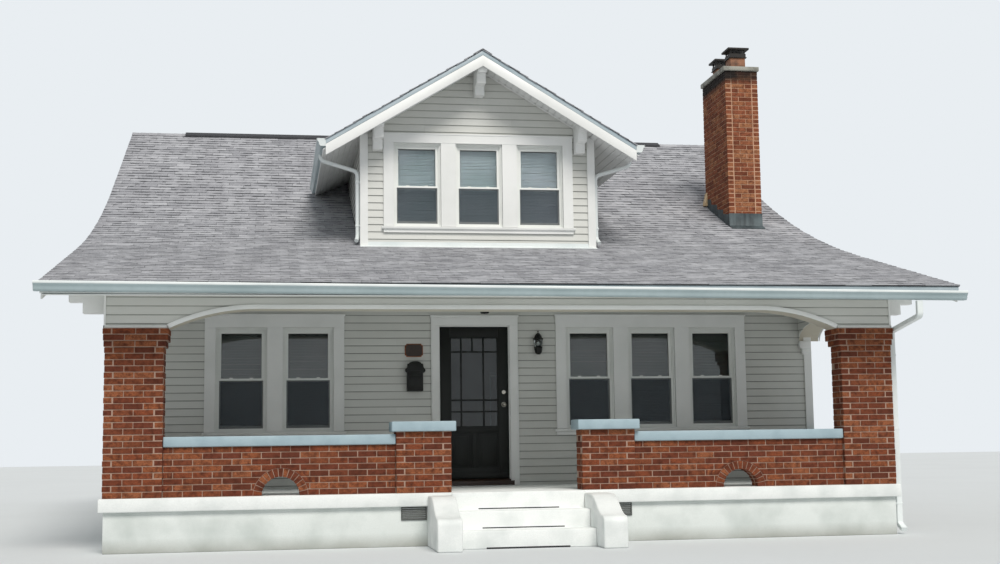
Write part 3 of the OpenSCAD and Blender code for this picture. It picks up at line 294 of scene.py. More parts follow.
def granules(name, tones, streak, fleck):
    """A roof covering: a grey for each tab, flecks of stone and streaks that run down the slope."""
    material, tree, shader, place = surface(name, Roughness=0.93, Specular_IOR_Level=0.25)
    streaks, dashes = [
        add(tree, "ShaderNodeTexNoise", {"Scale": 1.0, "Detail": detail, "Vector": add(
            tree, "ShaderNodeMapping", {"Vector": place, "Scale": [1000 / s for s in size]}).outputs[0]})
        for size, detail in ((streak_mm, 5.0), (dash_mm, 1.0))]
    stone = add(tree, "ShaderNodeTexVoronoi", {"Vector": place, "Scale": 1000 / 14})
    rained = spread(tree, streaks, 0.42, 0.72, 0.0, 0.55)
    lit = spread(tree, stone.outputs["Color"], 0.25, 1.0, 0.0, 0.45)
    colour = blend_by(tree, lit, blend_by(tree, rained, by_shade(tree, tones), streak), fleck)
    lie = add(tree, "ShaderNodeUVMap", uv_map="lie").outputs["UV"]
    reach = add(tree, "ShaderNodeSeparateXYZ", {"Vector": lie}).outputs["Y"]
    depth = spread(tree, dashes, 0.44, 0.56, 0.06, 1.0)
    # Painted shade under the next row's butt, with the dark stone of laminated shingles, deeper under some
    # tabs.
    butt_shade_band = add(tree, "ShaderNodeMath", {0: spread(tree, reach, 0.50, 0.70), 1: depth}, operation="MULTIPLY")
    tree.links.new(blend_by(tree, butt_shade_band, colour, "#2f3135"), shader.inputs["Base Color"])
    bump = add(tree, "ShaderNodeBump", {
        "Height": stone.outputs["Distance"], "Distance": 0.002, "Strength": 0.6})
    tree.links.new(bump.outputs[0], shader.inputs["Normal"])
    return material


shingle_grey = granules("asphalt_shingle_grey", ("#929398", "#b6b7bb"), "#86868b", "#c9cacd")
shingle_dark = granules("asphalt_shingle_dark", ("#3c3d40", "#4b4c50"), "#333437", "#5f6064")
# Tarred felt, and painted shade under the shingles' eave edge and at the risers' feet: nearly black.
tarred_felt = weathered("tarred_felt", "#2b2b2d", "#3a3a3c", 300, 12, 0.9, 0.4)

# %% Glass, blinds and small metals
def clear_glass(name, tint, dusty):
    """Float glass: a thin clear sheet with a slight tint that mirrors what is in front of it."""
    material, tree, shader, place = surface(name, Roughness=0.02, IOR=1.5, Transmission_Weight=1.0,
                                            Specular_IOR_Level=0.35)
    film = add(tree, "ShaderNodeTexNoise", {"Vector": place, "Scale": 1000 / 600, "Detail": 2.0})
    dust = blend_by(tree, spread(tree, film, 0.3, 0.7), tint, dusty)
    tree.links.new(dust, shader.inputs["Base Color"])
    return material


window_glass = clear_glass("float_glass", "#dfe8e6", "#ffffff")
# The door's pane is tinted grey with painted shade, so the hall behind it stays dark.
door_pane_painted_shade = clear_glass("door_glass_painted_shade", "#8d9897", "#a2acab")
# Slats of a mini-blind, painted aluminium behind dusty glass: dark grey-blue with painted shade in the
# house's windows, and pale with painted sky light and reflection in the dormer.
blind_painted_shade = weathered("blind_slats_painted_shade", "#525b59", "#464e4c", 300, 10, 0.5, 0.05)
blind_painted_light = weathered("blind_slats_painted_light", "#dbe7ee", "#c6d4dd", 300, 10, 0.5, 0.05)
# Extruded vinyl of the sashes: a clean, even white with a soft gloss.
window_vinyl = weathered("window_vinyl_white", "#eef0ec", "#dfe2de", 600, 5, 0.38, 0.03)
# Insect screen: a dark grey woven mesh of glass fibre, 1.2 mm apart, which only dims what is behind it.
insect_screen = weathered("insect_screen_mesh", "#49525a", "#3d454c", 200, 3, 0.85, 0.02, Alpha=0.36)
# Brushed nickel on the knob, the lock and the hinges: fine scratches all round.
brushed_nickel = weathered("brushed_nickel", "#b9b5ab", "#9a968c", 40, 1.5, 0.28, 0.03, Metallic=1.0)
# Aged copper edge of the plaque.
copper = weathered("aged_copper", "#8a5433", "#5c3824", 30, 2, 0.35, 0.03, Metallic=0.9)
# Wrinkle lacquer of the plaque's field: dark brown.
brown_lacquer = weathered("brown_lacquer", "#2a1b12", "#3a281b", 40, 2, 0.45, 0.1)
# Oiled oak floorboards indoors.
oak = weathered("oiled_oak", "#8f6b48", "#6f5034", 240, 12, 0.5, 0.3, (8, 1, 1), ("#86623f", "#9b7550"))
print("finishes:", len(bpy.data.materials))

# %% [markdown]
# Pieces that don't repeat are written as shapes: a list of corners and faces. A box, an outline pushed
# along an axis and a turned profile cover nearly all carpentry and metalwork.

# %% Shapes
def block(one, other):
    """A box between two opposite corners, in any order."""
    spans = [sorted(pair) for pair in zip(one, other)]
    corners = [(x, y, z) for x in spans[0] for y in spans[1] for z in spans[2]]
    return corners, [(0, 1, 3, 2), (4, 6, 7, 5), (0, 4, 5, 1), (2, 3, 7, 6), (0, 2, 6, 4), (1, 5, 7, 3)]


def pushed(outline, axis, start, end):
    """An outline pushed along axis 0, 1 or 2. Its points are the two other coordinates, in order."""
    count = len(outline)
    corners = [(*point[:axis], level, *point[axis:]) for level in (start, end) for point in outline]
    faces = [tuple(range(count)), tuple(range(2 * count - 1, count - 1, -1))]
    faces += [(i, (i + 1) % count, count + (i + 1) % count, count + i) for i in range(count)]
    return corners, faces


def turned(profile, centre, sides, start=0.0):
    """A profile of (radius, height) turned round a vertical axis. Its first and last radius are zero."""
    corners, faces, rings = [], [], []
    for radius, height in profile:
        angles = [start + 2 * math.pi * k / sides for k in range(sides if radius else 1)]
        rings.append(range(len(corners), len(corners) + len(angles)))
        corners += [(centre[0] + radius * math.cos(a), centre[1] + radius * math.sin(a), centre[2] + height)
                    for a in angles]
    for lower, upper in zip(rings, rings[1:]):
        for k in range(sides):
            quad = (lower[k % len(lower)], lower[(k + 1) % len(lower)], upper[(k + 1) % len(upper)],
                    upper[k % len(upper)])
            faces.append(tuple(dict.fromkeys(quad)))
    return corners, faces


def arc(centre, radii, first, last, count):
    """Points along an ellipse, from one angle to another in degrees."""
    angles = [math.radians(first + (last - first) * k / count) for k in range(count + 1)]
    return [(centre[0] + radii[0] * math.cos(a), centre[1] + radii[1] * math.sin(a)) for a in angles]


def placed(shapes, origin, out):
    """Shapes drawn on a wall, as (right, outward, up), moved to a wall that faces out."""
    right = up.cross(out)
    return [([tuple(origin + right * u + out * d + up * v) for u, d, v in corners], faces)
            for corners, faces in shapes]


print("shapes: block, pushed, turned, arc, placed")

# %% [markdown]
# Shapes become a piece in four steps: they are joined, their edges are rounded with a Bevel modifier,
# the result is made plain mesh, and the frame is told what the piece rides on.

# %% From shapes to pieces
def linked(name, mesh):
    """A new object of a mesh, in the scene."""
    made = bpy.data.objects.new(name, mesh)
    bpy.context.scene.collection.objects.link(made)
    return made


def turn_outwards(mesh, merge=0.0):
    """Merges the points that lie closer than a distance, and turns the faces outwards."""
    work = bmesh.new()
    work.from_mesh(mesh)
    if merge:
        bmesh.ops.remove_doubles(work, verts=work.verts, dist=merge)
    bmesh.ops.recalc_face_normals(work, faces=work.faces)
    work.to_mesh(mesh)
    work.free()


def solid(name, *groups):
    """Joins shapes into one object. A group is (material, shapes)."""
    mesh = bpy.data.meshes.new(name)
    corners, faces, slots = [], [], []
    for index, (material, shapes) in enumerate(groups):
        mesh.materials.append(material)
        for points, sides in shapes:
            start = len(corners)
            corners += points
            faces += [tuple(start + i for i in side) for side in sides]
            slots += [index] * len(sides)
    mesh.from_pydata(corners, [], faces)
    mesh.polygons.foreach_set("material_index", slots)
    turn_outwards(mesh)
    return linked(name, mesh)


def settle(made):
    """Turns an object with modifiers into plain mesh."""
    bpy.context.view_layer.update()
    seen = made.evaluated_get(bpy.context.evaluated_depsgraph_get())
    mesh = bpy.data.meshes.new_from_object(seen)
    made.modifiers.clear()
    made.data = mesh
    return made


def smooth(made, angle):
    """Smooth shading, apart from edges sharper than an angle."""
    made.data.shade_smooth()
    made.data.set_sharp_from_angle(angle=math.radians(angle))
    return made


def soften(made, edge, steps=1, angle=35):
    """Rounds the edges, as paint, planes and wear do."""
    bevel = made.modifiers.new("edge", "BEVEL")
    bevel.width = edge
    bevel.segments = steps
    bevel.limit_method = "ANGLE"
    bevel.angle_limit = math.radians(angle)
    return smooth(settle(made), angle)


def hand_in(made, slot, *instead_of, body="house"):
    """Hands a finished piece to the frame, with the nodes it stands for, and prints what it is."""
    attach(made, body)
    if instead_of:
        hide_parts(*instead_of)
    made.data.calc_loop_triangles()
    print("%-24s %6d triangles, on the %s" % (made.name, len(made.data.loop_triangles), body))
    return made


def cut(made, keep=(), drop=()):
    """Keeps what lies inside some solids and drops what lies inside others."""
    for tools, operation in ((keep, "INTERSECT"), (drop, "DIFFERENCE")):
        for tool in tools:
            knife = made.modifiers.new("cut", "BOOLEAN")
            knife.object = tool
            knife.operation = operation
            knife.solver = "MANIFOLD"
    return settle(made)


def scrap(*objects):
    """Deletes helper objects."""
    for helper in objects:
        bpy.data.objects.remove(helper)


print("helpers: solid, soften, cut, hand_in")

# %% [markdown]
# Many pieces start from the frame's own solids. A merged copy can be cut, softened and lowered, while
# the node stays as it is, and the boxes of a node's separate solids say where each pier, window or
# gutter is.

# %% Copies and measures of the frame
merge_dist = 1e-5


def merged(*names):
    """Frame nodes in one bmesh, with their loose triangles joined."""
    work = bmesh.new()
    for name in names:
        work.from_mesh(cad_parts[name].data)
    bmesh.ops.remove_doubles(work, verts=work.verts, dist=merge_dist)
    return work


def copy_of(*names):
    """A merged copy of frame nodes, for cutting and softening."""
    work = merged(*names)
    bmesh.ops.dissolve_limit(work, angle_limit=math.radians(0.2), verts=work.verts, edges=work.edges)
    mesh = bpy.data.meshes.new(names[0] + "_copy")
    work.to_mesh(mesh)
    work.free()
    mesh.polygons.foreach_set("use_smooth", [False] * len(mesh.polygons))
    return linked(names[0] + "_copy", mesh)


def islands(name):
    """The boxes of a node's separate solids, as (low, high) corners."""
    work = merged(name)
    boxes, left = [], set(work.verts)
    while left:
        group, edge = [], [left.pop()]
        while edge:
            vert = edge.pop()
            group.append(vert.co.copy())
            near = {link.other_vert(vert) for link in vert.link_edges} & left
            left -= near
            edge += near
        boxes.append([Vector(pick(p[i] for p in group) for i in range(3)) for pick in (min, max)])
    work.free()
    return sorted(boxes, key=lambda box: tuple(box[0]))


facings = {"front": Vector((0, -1, 0)), "right": Vector((1, 0, 0)), "rear": Vector((0, 1, 0)),
           "left": Vector((-1, 0, 0))}


def seen_from(side, box):
    """A box seen from a side: its start and end along the wall's right, its back and front outward."""
    out = facings[side]
    return [sorted(corner.dot(way) for corner in box) for way in (up.cross(out), out)]


print("windows' panes in the frame:", len(islands("window_glass")))

# %% [markdown]
# Much of a house is one piece laid many times: bricks, boards, slats, hangers. A Geometry Nodes tree
# lays them. It takes loose points, each with a turn and a size, puts one piece on every point, gives
# each its own shade, and ends in plain mesh. Python only decides where the points go, which is the rule
# that a bricklayer follows.

# %% The tree that lays pieces
def new_tree(name, **inputs):
    """An empty Geometry Nodes tree with a geometry in and out, and these named inputs."""
    tree = bpy.data.node_groups.new(name, "GeometryNodeTree")
    for way in ("OUTPUT", "INPUT"):
        tree.interface.new_socket("Geometry", in_out=way, socket_type="NodeSocketGeometry")
    for label, kind in inputs.items():
        tree.interface.new_socket(label, in_out="INPUT", socket_type="NodeSocket" + kind)
    return tree, add(tree, "NodeGroupInput").outputs


def end_tree(tree, geometry, material):
    """Closes a tree: instances made real, and the material set."""
    real = add(tree, "GeometryNodeRealizeInstances", {"Geometry": geometry})
    painted = add(tree, "GeometryNodeSetMaterial", {"Geometry": real, "Material": material})
    add(tree, "NodeGroupOutput", {"Geometry": painted})


def run_tree(name, points, tree, joined=True, **values):
    """Runs a tree with these inputs on points, joined into a line or loose, and keeps the plain mesh."""
    mesh = bpy.data.meshes.new(name)
    edges = [(i, i + 1) for i in range(len(points) - 1)] if joined else []
    mesh.from_pydata([tuple(point) for point in points], edges, [])
    for label in ("turn", "size"):
        if label in values:
            layer = mesh.attributes.new(label, "FLOAT_VECTOR", "POINT")
            layer.data.foreach_set("vector", [c for value in values[label] for c in value])
    made = linked(name, mesh)
    modifier = made.modifiers.new("nodes", "NODES")
    modifier.node_group = tree
    for item in tree.interface.items_tree:
        if item.item_type == "SOCKET" and item.in_out == "INPUT" and item.name in values:
            modifier[item.identifier] = values[item.name]
    return settle(made)


laid_inputs = {"Piece": "Object", "Jitter": "Vector", "Seed": "Int", "Finish": "Material"}


def put_pieces(tree, given, points, turn, size=(1, 1, 1)):
    """The end of a laying tree: nudged points, a piece on each, a shade for each, and the finish."""
    unit = add(tree, "GeometryNodeObjectInfo", {"Object": given["Piece"]})
    back = add(tree, "ShaderNodeVectorMath", {0: given["Jitter"], 1: (-1, -1, -1)}, operation="MULTIPLY")
    nudge = add(tree, "FunctionNodeRandomValue", {
        0: back, 1: given["Jitter"], "Seed": given["Seed"]}, data_type="FLOAT_VECTOR")
    moved = add(tree, "GeometryNodeSetPosition", {"Geometry": points, "Offset": nudge})
    laid = add(tree, "GeometryNodeInstanceOnPoints", {
        "Points": moved, "Instance": unit.outputs["Geometry"], "Rotation": turn, "Scale": size})
    draw = add(tree, "FunctionNodeRandomValue", {"Seed": given["Seed"]}, data_type="FLOAT")
    shaded = add(tree, "GeometryNodeStoreNamedAttribute", {
        "Geometry": laid, "Name": "shade", "Value": draw.outputs[1]},
                 data_type="FLOAT", domain="INSTANCE")
    end_tree(tree, shaded, given["Finish"])


laying, given = new_tree("laid_pieces", **laid_inputs)
turns, sizes = [add(laying, "GeometryNodeInputNamedAttribute", {"Name": label}, data_type="FLOAT_VECTOR")
                for label in ("turn", "size")]
turn = add(laying, "FunctionNodeEulerToRotation", {0: turns})
put_pieces(laying, given, given["Geometry"], turn, sizes)
whole = (1, 1, 1)  # the size of a piece that isn't stretched


def lay(name, piece, places, material, seed, jitter=(0, 0, 0), tilt=0.0):
    """Lays a piece at each place: (position, turn about z, size). The tilt is about x, the same for all."""
    spots, angles, sizes = zip(*places)
    return run_tree(name, spots, laying, False, Piece=piece, Jitter=jitter, Seed=seed, Finish=material,
                    turn=[(tilt, 0, angle) for angle in angles], size=sizes)


print("laying tree:", len(laying.nodes), "nodes")

# %% [markdown]
# A brick is a box with worn arrises. It is 203 x 92 x 57 mm and stands 6 mm proud of the mortar behind
# it. In a running bond every other course starts with a brick's end, because at a corner the two walls
# take turns. So each course is laid round the plan of the pier, and the edges of the plan own their
# corners in turn.

# %% Bricks in running bond
brick_size = Vector((0.203, 0.092, 0.057))
joint = 0.010
recess = 0.006  # how far the mortar lies behind the brick faces
module = brick_size.x + joint + 0.003
course_h = 0.0698
brick_nudge = 0.0015  # bricks lie this much out of line
brick_piece = soften(solid("brick_unit", (fired_brick, [block(-brick_size / 2, brick_size / 2)])), 0.003)


def brick_run(places, start, end, out, z, height):
    """One course of bricks along a wall face from start to end. The bricks' faces look along out."""
    start, end = Vector((*start, 0)), Vector((*end, 0))
    ahead = (end - start).normalized()
    count = max(1, round((end - start).length / module))
    step = (end - start).length / count
    size = ((step - joint) / brick_size.x, 1, (height - joint) / brick_size.z)
    for k in range(count):
        centre = start + ahead * (step * (k + 0.5)) - out * brick_size.y / 2 + up * (z + height / 2)
        places.append((centre, math.atan2(ahead.y, ahead.x), size))


def courses_between(low, high, wanted=course_h):
    """The height of a course that fits between two heights, and the foot of every course."""
    count = max(1, round((high - low) / wanted))
    height = (high - low) / count
    return height, [low + k * height for k in range(count)]


def brick_courses(places, plan, low, high, first=0):
    """Bricks round a plan, whose corners go anticlockwise, from one height to another."""
    height, feet = courses_between(low, high, 0.0697)
    for course, foot in enumerate(feet):
        for k, start in enumerate(plan):
            start, end = Vector(start), Vector(plan[(k + 1) % len(plan)])
            ahead = (end - start).normalized()
            own = ahead * (brick_size.y + joint) * ((k + course + first) % 2)
            brick_run(places, start + own, end - own, Vector((ahead.y, -ahead.x, 0)), foot, height)


def wall_courses(places, low, high, run):
    """Courses on both faces of a wall that runs along axis run, laid past its ends for a cut."""
    height, feet = courses_between(low.z, high.z)
    for course, foot in enumerate(feet):
        shift = module / 2 * (course % 2)
        for level, sign in ((low[1 - run], -1), (high[1 - run], 1)):
            start, end, out = [level, level], [level, level], Vector((0, 0, 0))
            start[run], end[run], out[1 - run] = low[run] - shift, high[run] + module - shift, sign
            brick_run(places, start, end, out, foot, height)


def inset_plan(plan, by):
    """A plan drawn in on every side."""
    corners = [Vector(corner) for corner in plan]
    drawn = []
    for k, corner in enumerate(corners):
        into = (corner - corners[k - 1]).normalized()
        away = (corners[(k + 1) % len(corners)] - corner).normalized()
        drawn.append((corner.x - (into.y + away.y) * by, corner.y + (into.x + away.x) * by))
    return drawn


def square_plan(low, high, wider=0.0):
    """The plan of a box, with more on every side."""
    left, near, right, far = low[0] - wider, low[1] - wider, high[0] + wider, high[1] + wider
    return [(left, near), (right, near), (right, far), (left, far)]


print("brick module %.0f mm" % (module * 1000))

# %% [markdown]
# The two corner piers are L-shaped in plan, and their top three courses step out as a corbel. The sizes
# repeat the frame's, so that the brick faces lie exactly where the frame's faces are.

# %% The piers
face_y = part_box("entry_piers")[0].y  # the piers' front faces
floor_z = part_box("entry_piers")[0].z  # the porch floor
beam_low, beam_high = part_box("porch_front_beam")
porch_x = beam_high.x  # the outer faces of the piers and beams
pier_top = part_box("corner_piers")[1].z
pier_w, pier_t = 0.65, 0.31
corbel, corbel_side = 0.025, 0.015  # what each step of the corbel adds in front and at the side


def corner_plan(step):
    """The right corner pier's plan, widened by a number of corbel steps."""
    out, right = corbel * step, porch_x + corbel_side * step / 2
    left, inner = porch_x - pier_w - out, porch_x - pier_t - out
    near, middle, far = face_y - out, face_y + pier_t + out, face_y + pier_w + out
    return [(left, near), (right, near), (right, far), (inner, far), (inner, middle), (left, middle)]


def finish_bricks(name, node, bricks, cores):
    """Bricks and the mortar behind them, in place of a node."""
    hand_in(bricks, "brick", node)
    hand_in(solid(name + "_mortar", (mortar, cores)), "brick", node)


places, cores = [], []
corbel_z = [pier_top - 3 * course_h, pier_top - 2 * course_h]
for step, (low, high) in enumerate(zip([floor_z] + corbel_z, corbel_z + [pier_top])):
    right_plan = corner_plan(step)
    for plan in (right_plan, [(-x, y) for x, y in reversed(right_plan)]):
        brick_courses(places, plan, low, high, step)
        cores.append(pushed(inset_plan(plan, recess), 2, low, high))
bricks = lay("corner_pier_bricks", brick_piece, places, fired_brick, 11, (brick_nudge, 0, 0.0008))
finish_bricks("corner_pier", "corner_piers", bricks, cores)

places, cores = [], []
for low, high in islands("entry_piers"):
    brick_courses(places, square_plan(low, high), low.z, high.z)
    cores.append(pushed(square_plan(low, high, -recess), 2, low.z, high.z))
bricks = lay("entry_pier_bricks", brick_piece, places, fired_brick, 12, (brick_nudge, 0, 0.0008))
finish_bricks("entry_pier", "entry_piers", bricks, cores)

# %% [markdown]
# The low walls between the piers are two bricks thick. Each front wall has a half-round drain at the
# floor, with a ring of bricks over it. The courses are laid straight through, and a Boolean cuts the
# ring's outline out of them, as a bricklayer cuts the bricks that meet it. Then the ring is set in.

# %% The porch walls
drain_r, ring_w = 0.210, 0.100
places, wall_cores, holes = [], [], []
for low, high in islands("porch_front_walls"):
    wall_courses(places, low, high, 0)
    foot = ((low.x + high.x) / 2, low.z)
    hole = arc(foot, (drain_r + ring_w, drain_r + ring_w), 0, 180, 32)
    holes.append(pushed(hole, 1, low.y - 0.05, high.y + 0.05))
    opening = arc(foot, (drain_r + 0.004, drain_r + 0.004), 180, 0, 32)
    outline = [(low.x, low.z)] + opening + [(high.x, low.z), (high.x, high.z), (low.x, high.z)]
    wall_cores.append(pushed(outline, 1, low.y + recess, high.y - recess))
bricks = lay("porch_wall_bricks", brick_piece, places, fired_brick, 13, (brick_nudge, 0, 0.0008))
ring_holes, walls = solid("ring_holes", (mortar, holes)), copy_of("porch_front_walls")
cut(bricks, [walls], [ring_holes])
hand_in(bricks, "brick", "porch_front_walls")
scrap(ring_holes, walls)

# %% The rings over the drains
ring_count = 15
ring_step = math.pi / ring_count
ring_in, ring_out = drain_r, drain_r + ring_w - 0.006
half_in = drain_r * ring_step / 2 - joint * 0.35
half_out = (drain_r + ring_w) * ring_step / 2 - joint * 0.5
ring = []
for low, high in islands("porch_front_walls"):
    centre = Vector(((low.x + high.x) / 2, low.z))
    for k in range(ring_count):
        angle = ring_step * (k + 0.5)
        radial = Vector((math.cos(angle), math.sin(angle)))
        across = Vector((-radial.y, radial.x))
        outline = [tuple(centre + radial * r + across * w) for r, w in (
            (ring_in, -half_in), (ring_out, -half_out), (ring_out, half_out), (ring_in, half_in))]
        ring += [pushed(outline, 1, y, y + brick_size.y) for y in (low.y, high.y - brick_size.y)]
bricks = soften(solid("drain_ring_bricks", (fired_brick, ring)), 0.003)
shades = bricks.data.attributes.new("shade", "FLOAT", "POINT")
chance = random.Random(5)
draws = [chance.random() for _ in ring]
per_brick = len(bricks.data.vertices) // len(ring)
shades.data.foreach_set("value", [draws[min(i // per_brick, len(ring) - 1)]
                                  for i in range(len(bricks.data.vertices))])
hand_in(bricks, "brick", "porch_front_walls")
hand_in(solid("porch_wall_mortar", (mortar, wall_cores)), "brick", "porch_front_walls")

# %% The porch's side walls
places, cores = [], []
for low, high in islands("porch_side_walls"):
    wall_courses(places, low, high, 1)
    cores.append(block((low.x + recess, low.y, low.z), (high.x - recess, high.y, high.z)))
bricks = lay("porch_side_bricks", brick_piece, places, fired_brick, 14, (0, brick_nudge, 0.0008))
walls = copy_of("porch_side_walls")
cut(bricks, [walls])
finish_bricks("porch_side", "porch_side_walls", bricks, cores)
scrap(walls)

# %% The chimney's bricks
(stack_low, stack_high), = islands("chimney_stack")
(x0, y0, _), (x1, y1, _) = stack_low, stack_high
deep = brick_size.y + joint
front_parts, side_parts = (1 / 3, 2 / 3), (0.19, 0.10)  # where a joint always falls, course by course
places = []
height, feet = courses_between(stack_low.z, stack_high.z, 0.0697)
for course, foot in enumerate(feet):
    for side, start, end, parts in (
            ("front", (x0 + deep, y0), (x1 - deep, y0), front_parts),
            ("rear", (x0 + deep, y1), (x1 - deep, y1), front_parts),
            ("left", (x0, y0), (x0, y1), side_parts), ("right", (x1, y0), (x1, y1), side_parts)):
        part = Vector(start).lerp(Vector(end), parts[course % 2])
        brick_run(places, start, part, facings[side], foot, height)
        brick_run(places, part, end, facings[side], foot, height)
bricks = lay("chimney_bricks", brick_piece, places, chimney_brick, 15, (0.001, 0.001, 0.0008))
hand_in(bricks, "brick", "chimney_stack")
core = pushed(square_plan(stack_low, stack_high, -recess), 2, stack_low.z, stack_high.z)
hand_in(solid("chimney_mortar", (chimney_mortar, [core])), "brick", "chimney_stack")
print("chimney:", len(feet), "courses")

# %% [markdown]
# Shingles follow the slope from the eave up. A second tree does this on any path: it walks up the path
# in steps of one exposure, lays a row of tabs across at each step, moves the rows by part of a tab in
# turn, and turns the tabs with the slope. The same tree lays the soffit boards under the eaves.

# %% The tree that lays rows on a slope
rows, given = new_tree("rows_on_slope", Exposure="Float", Across="Int", Step="Float", Stagger="Float",
                       **laid_inputs)
path = add(rows, "GeometryNodeMeshToCurve", {"Mesh": given["Geometry"]})
walk = add(rows, "GeometryNodeCurveToPoints", {"Curve": path, "Length": given["Exposure"]}, mode="LENGTH")
level = add(rows, "ShaderNodeVectorMath", {0: walk.outputs["Tangent"], 1: (0, 0, 1)},
            operation="CROSS_PRODUCT")
side = add(rows, "ShaderNodeVectorMath", {0: level}, operation="NORMALIZE")
facing = add(rows, "FunctionNodeAxesToRotation", {
    "Primary Axis": side, "Secondary Axis": walk.outputs["Tangent"]},
             primary_axis="X", secondary_axis="Y")
slope = add(rows, "GeometryNodeStoreNamedAttribute", {
    "Geometry": walk, "Name": "facing", "Value": facing},
            data_type="QUATERNION", domain="POINT")
index = add(rows, "GeometryNodeInputIndex")
turn_of_three = add(rows, "ShaderNodeMath", {0: index, 1: 3.0}, operation="MODULO")
half_row = add(rows, "ShaderNodeMath", {0: given["Across"], 1: -0.5, 2: 0.5}, operation="MULTIPLY_ADD")
shift = add(rows, "ShaderNodeMath", {
    0: turn_of_three, 1: given["Stagger"], 2: half_row}, operation="MULTIPLY_ADD")
start_x = add(rows, "ShaderNodeMath", {0: shift, 1: given["Step"]}, operation="MULTIPLY")
start = add(rows, "ShaderNodeVectorMath", {0: side, "Scale": start_x}, operation="SCALE")
begun = add(rows, "GeometryNodeSetPosition", {"Geometry": slope, "Offset": start})
offset = add(rows, "ShaderNodeCombineXYZ", {"X": given["Step"]})
line = add(rows, "GeometryNodeMeshLine", {"Count": given["Across"], "Offset": offset})
lines = add(rows, "GeometryNodeInstanceOnPoints", {"Points": begun, "Instance": line, "Rotation": facing})
spots = add(rows, "GeometryNodeRealizeInstances", {"Geometry": lines})
kept = add(rows, "GeometryNodeInputNamedAttribute", {"Name": "facing"}, data_type="QUATERNION")
put_pieces(rows, given, spots, kept)


def lay_rows(name, path, piece, exposure, across, step, stagger, material, seed, jitter):
    """Rows of a piece up a path of points, laid by the tree."""
    return run_tree(name, path, rows, Piece=piece, Exposure=exposure, Across=across, Step=step,
                    Stagger=stagger, Jitter=jitter, Seed=seed, Finish=material)


print("row tree:", len(rows.nodes), "nodes")

# %% [markdown]
# The roof's line comes from the frame: the highest points of the roof at its end give the curve from the
# eave up to the ridge, which is gentle over the porch and steeper above. The deck is a copy of the
# frame's roof with its top lowered by the thickness of the shingles, felt on top and painted boards
# below.

# %% The roof's deck
shingle_t = 0.014
rake_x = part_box("rake_boards")[1].x
roof_low, roof_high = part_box("main_roof")
roof_end = [v.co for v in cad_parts["main_roof"].data.vertices if abs(v.co.x - roof_high.x) < 1e-4]
top_line, low_line = [
    sorted({round(p.y, 5): pick(q.z for q in roof_end if abs(q.y - p.y) < 1e-4) for p in roof_end}.items())
    for pick in (max, min)]
ridge_y, ridge_z = max(top_line, key=lambda point: point[1])
dormer_low, dormer_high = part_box("dormer_roof")
dormer_t = 0.125  # the dormer roof's thickness, measured straight down
dormer_end = [v.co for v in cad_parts["dormer_roof"].data.vertices if abs(v.co.y - dormer_low.y) < 1e-4]
dormer_eave = min(p.z for p in dormer_end)
dormer_fall = (dormer_high.z - dormer_eave - dormer_t) / dormer_high.x


def along(line, y):
    """The height of a line of points at y, also past its ends."""
    for (y0, z0), (y1, z1) in zip(line, line[1:]):
        if y <= y1 or (y1, z1) == line[-1]:
            return z0 + (z1 - z0) * (y - y0) / (y1 - y0)


def dormer_top(x):
    """The height of the dormer's roof at x."""
    return dormer_high.z - abs(x) * dormer_fall


def deck(name, node, top):
    """A copy of a roof with its top lowered. top gives the height of the top at a corner."""
    made = copy_of(node)
    made.name = name
    for vert in made.data.vertices:
        if abs(vert.co.z - top(vert.co)) < 2e-3:
            vert.co.z -= shingle_t * 1.05
    made.data.materials.append(trim_paint)
    made.data.materials.append(tarred_felt)
    for face in made.data.polygons:
        face.material_index = int(face.normal.z > 0.3)
    hand_in(made, "shingles", node)


deck("roof_deck", "main_roof", lambda corner: along(top_line, corner.y))
deck("dormer_deck", "dormer_roof", lambda corner: dormer_top(corner.x))
print("ridge at y %.3f, z %.3f; the dormer falls %.3f in 1" % (ridge_y, ridge_z, dormer_fall))

# %% The main roof's shingles
exposure = 0.143
tab_w = 0.333  # a third of a shingle strip
slot_w = 0.004
overhang = 0.037  # past the deck's edge, over the eave board and the gutter's back
rake_lip = 0.012  # how far shingles reach past the rake boards
skin = 0.004  # what may stand over the roof's line: the tabs' raised butts
tab_long = exposure + 0.035
half_tab = tab_w / 2 - slot_w / 2
tab_section = [(0, -shingle_t), (0, 0), (tab_long, -0.009), (tab_long, -shingle_t)]
tab = solid("shingle_tab", (shingle_grey, [pushed(tab_section, 0, -half_tab, half_tab)]))
lie = tab.data.uv_layers.new(name="lie")
for corner in tab.data.loops:
    spot = tab.data.vertices[corner.vertex_index].co
    lie.data[corner.index].uv = (spot.x / tab_w + 0.5, spot.y / tab_long)

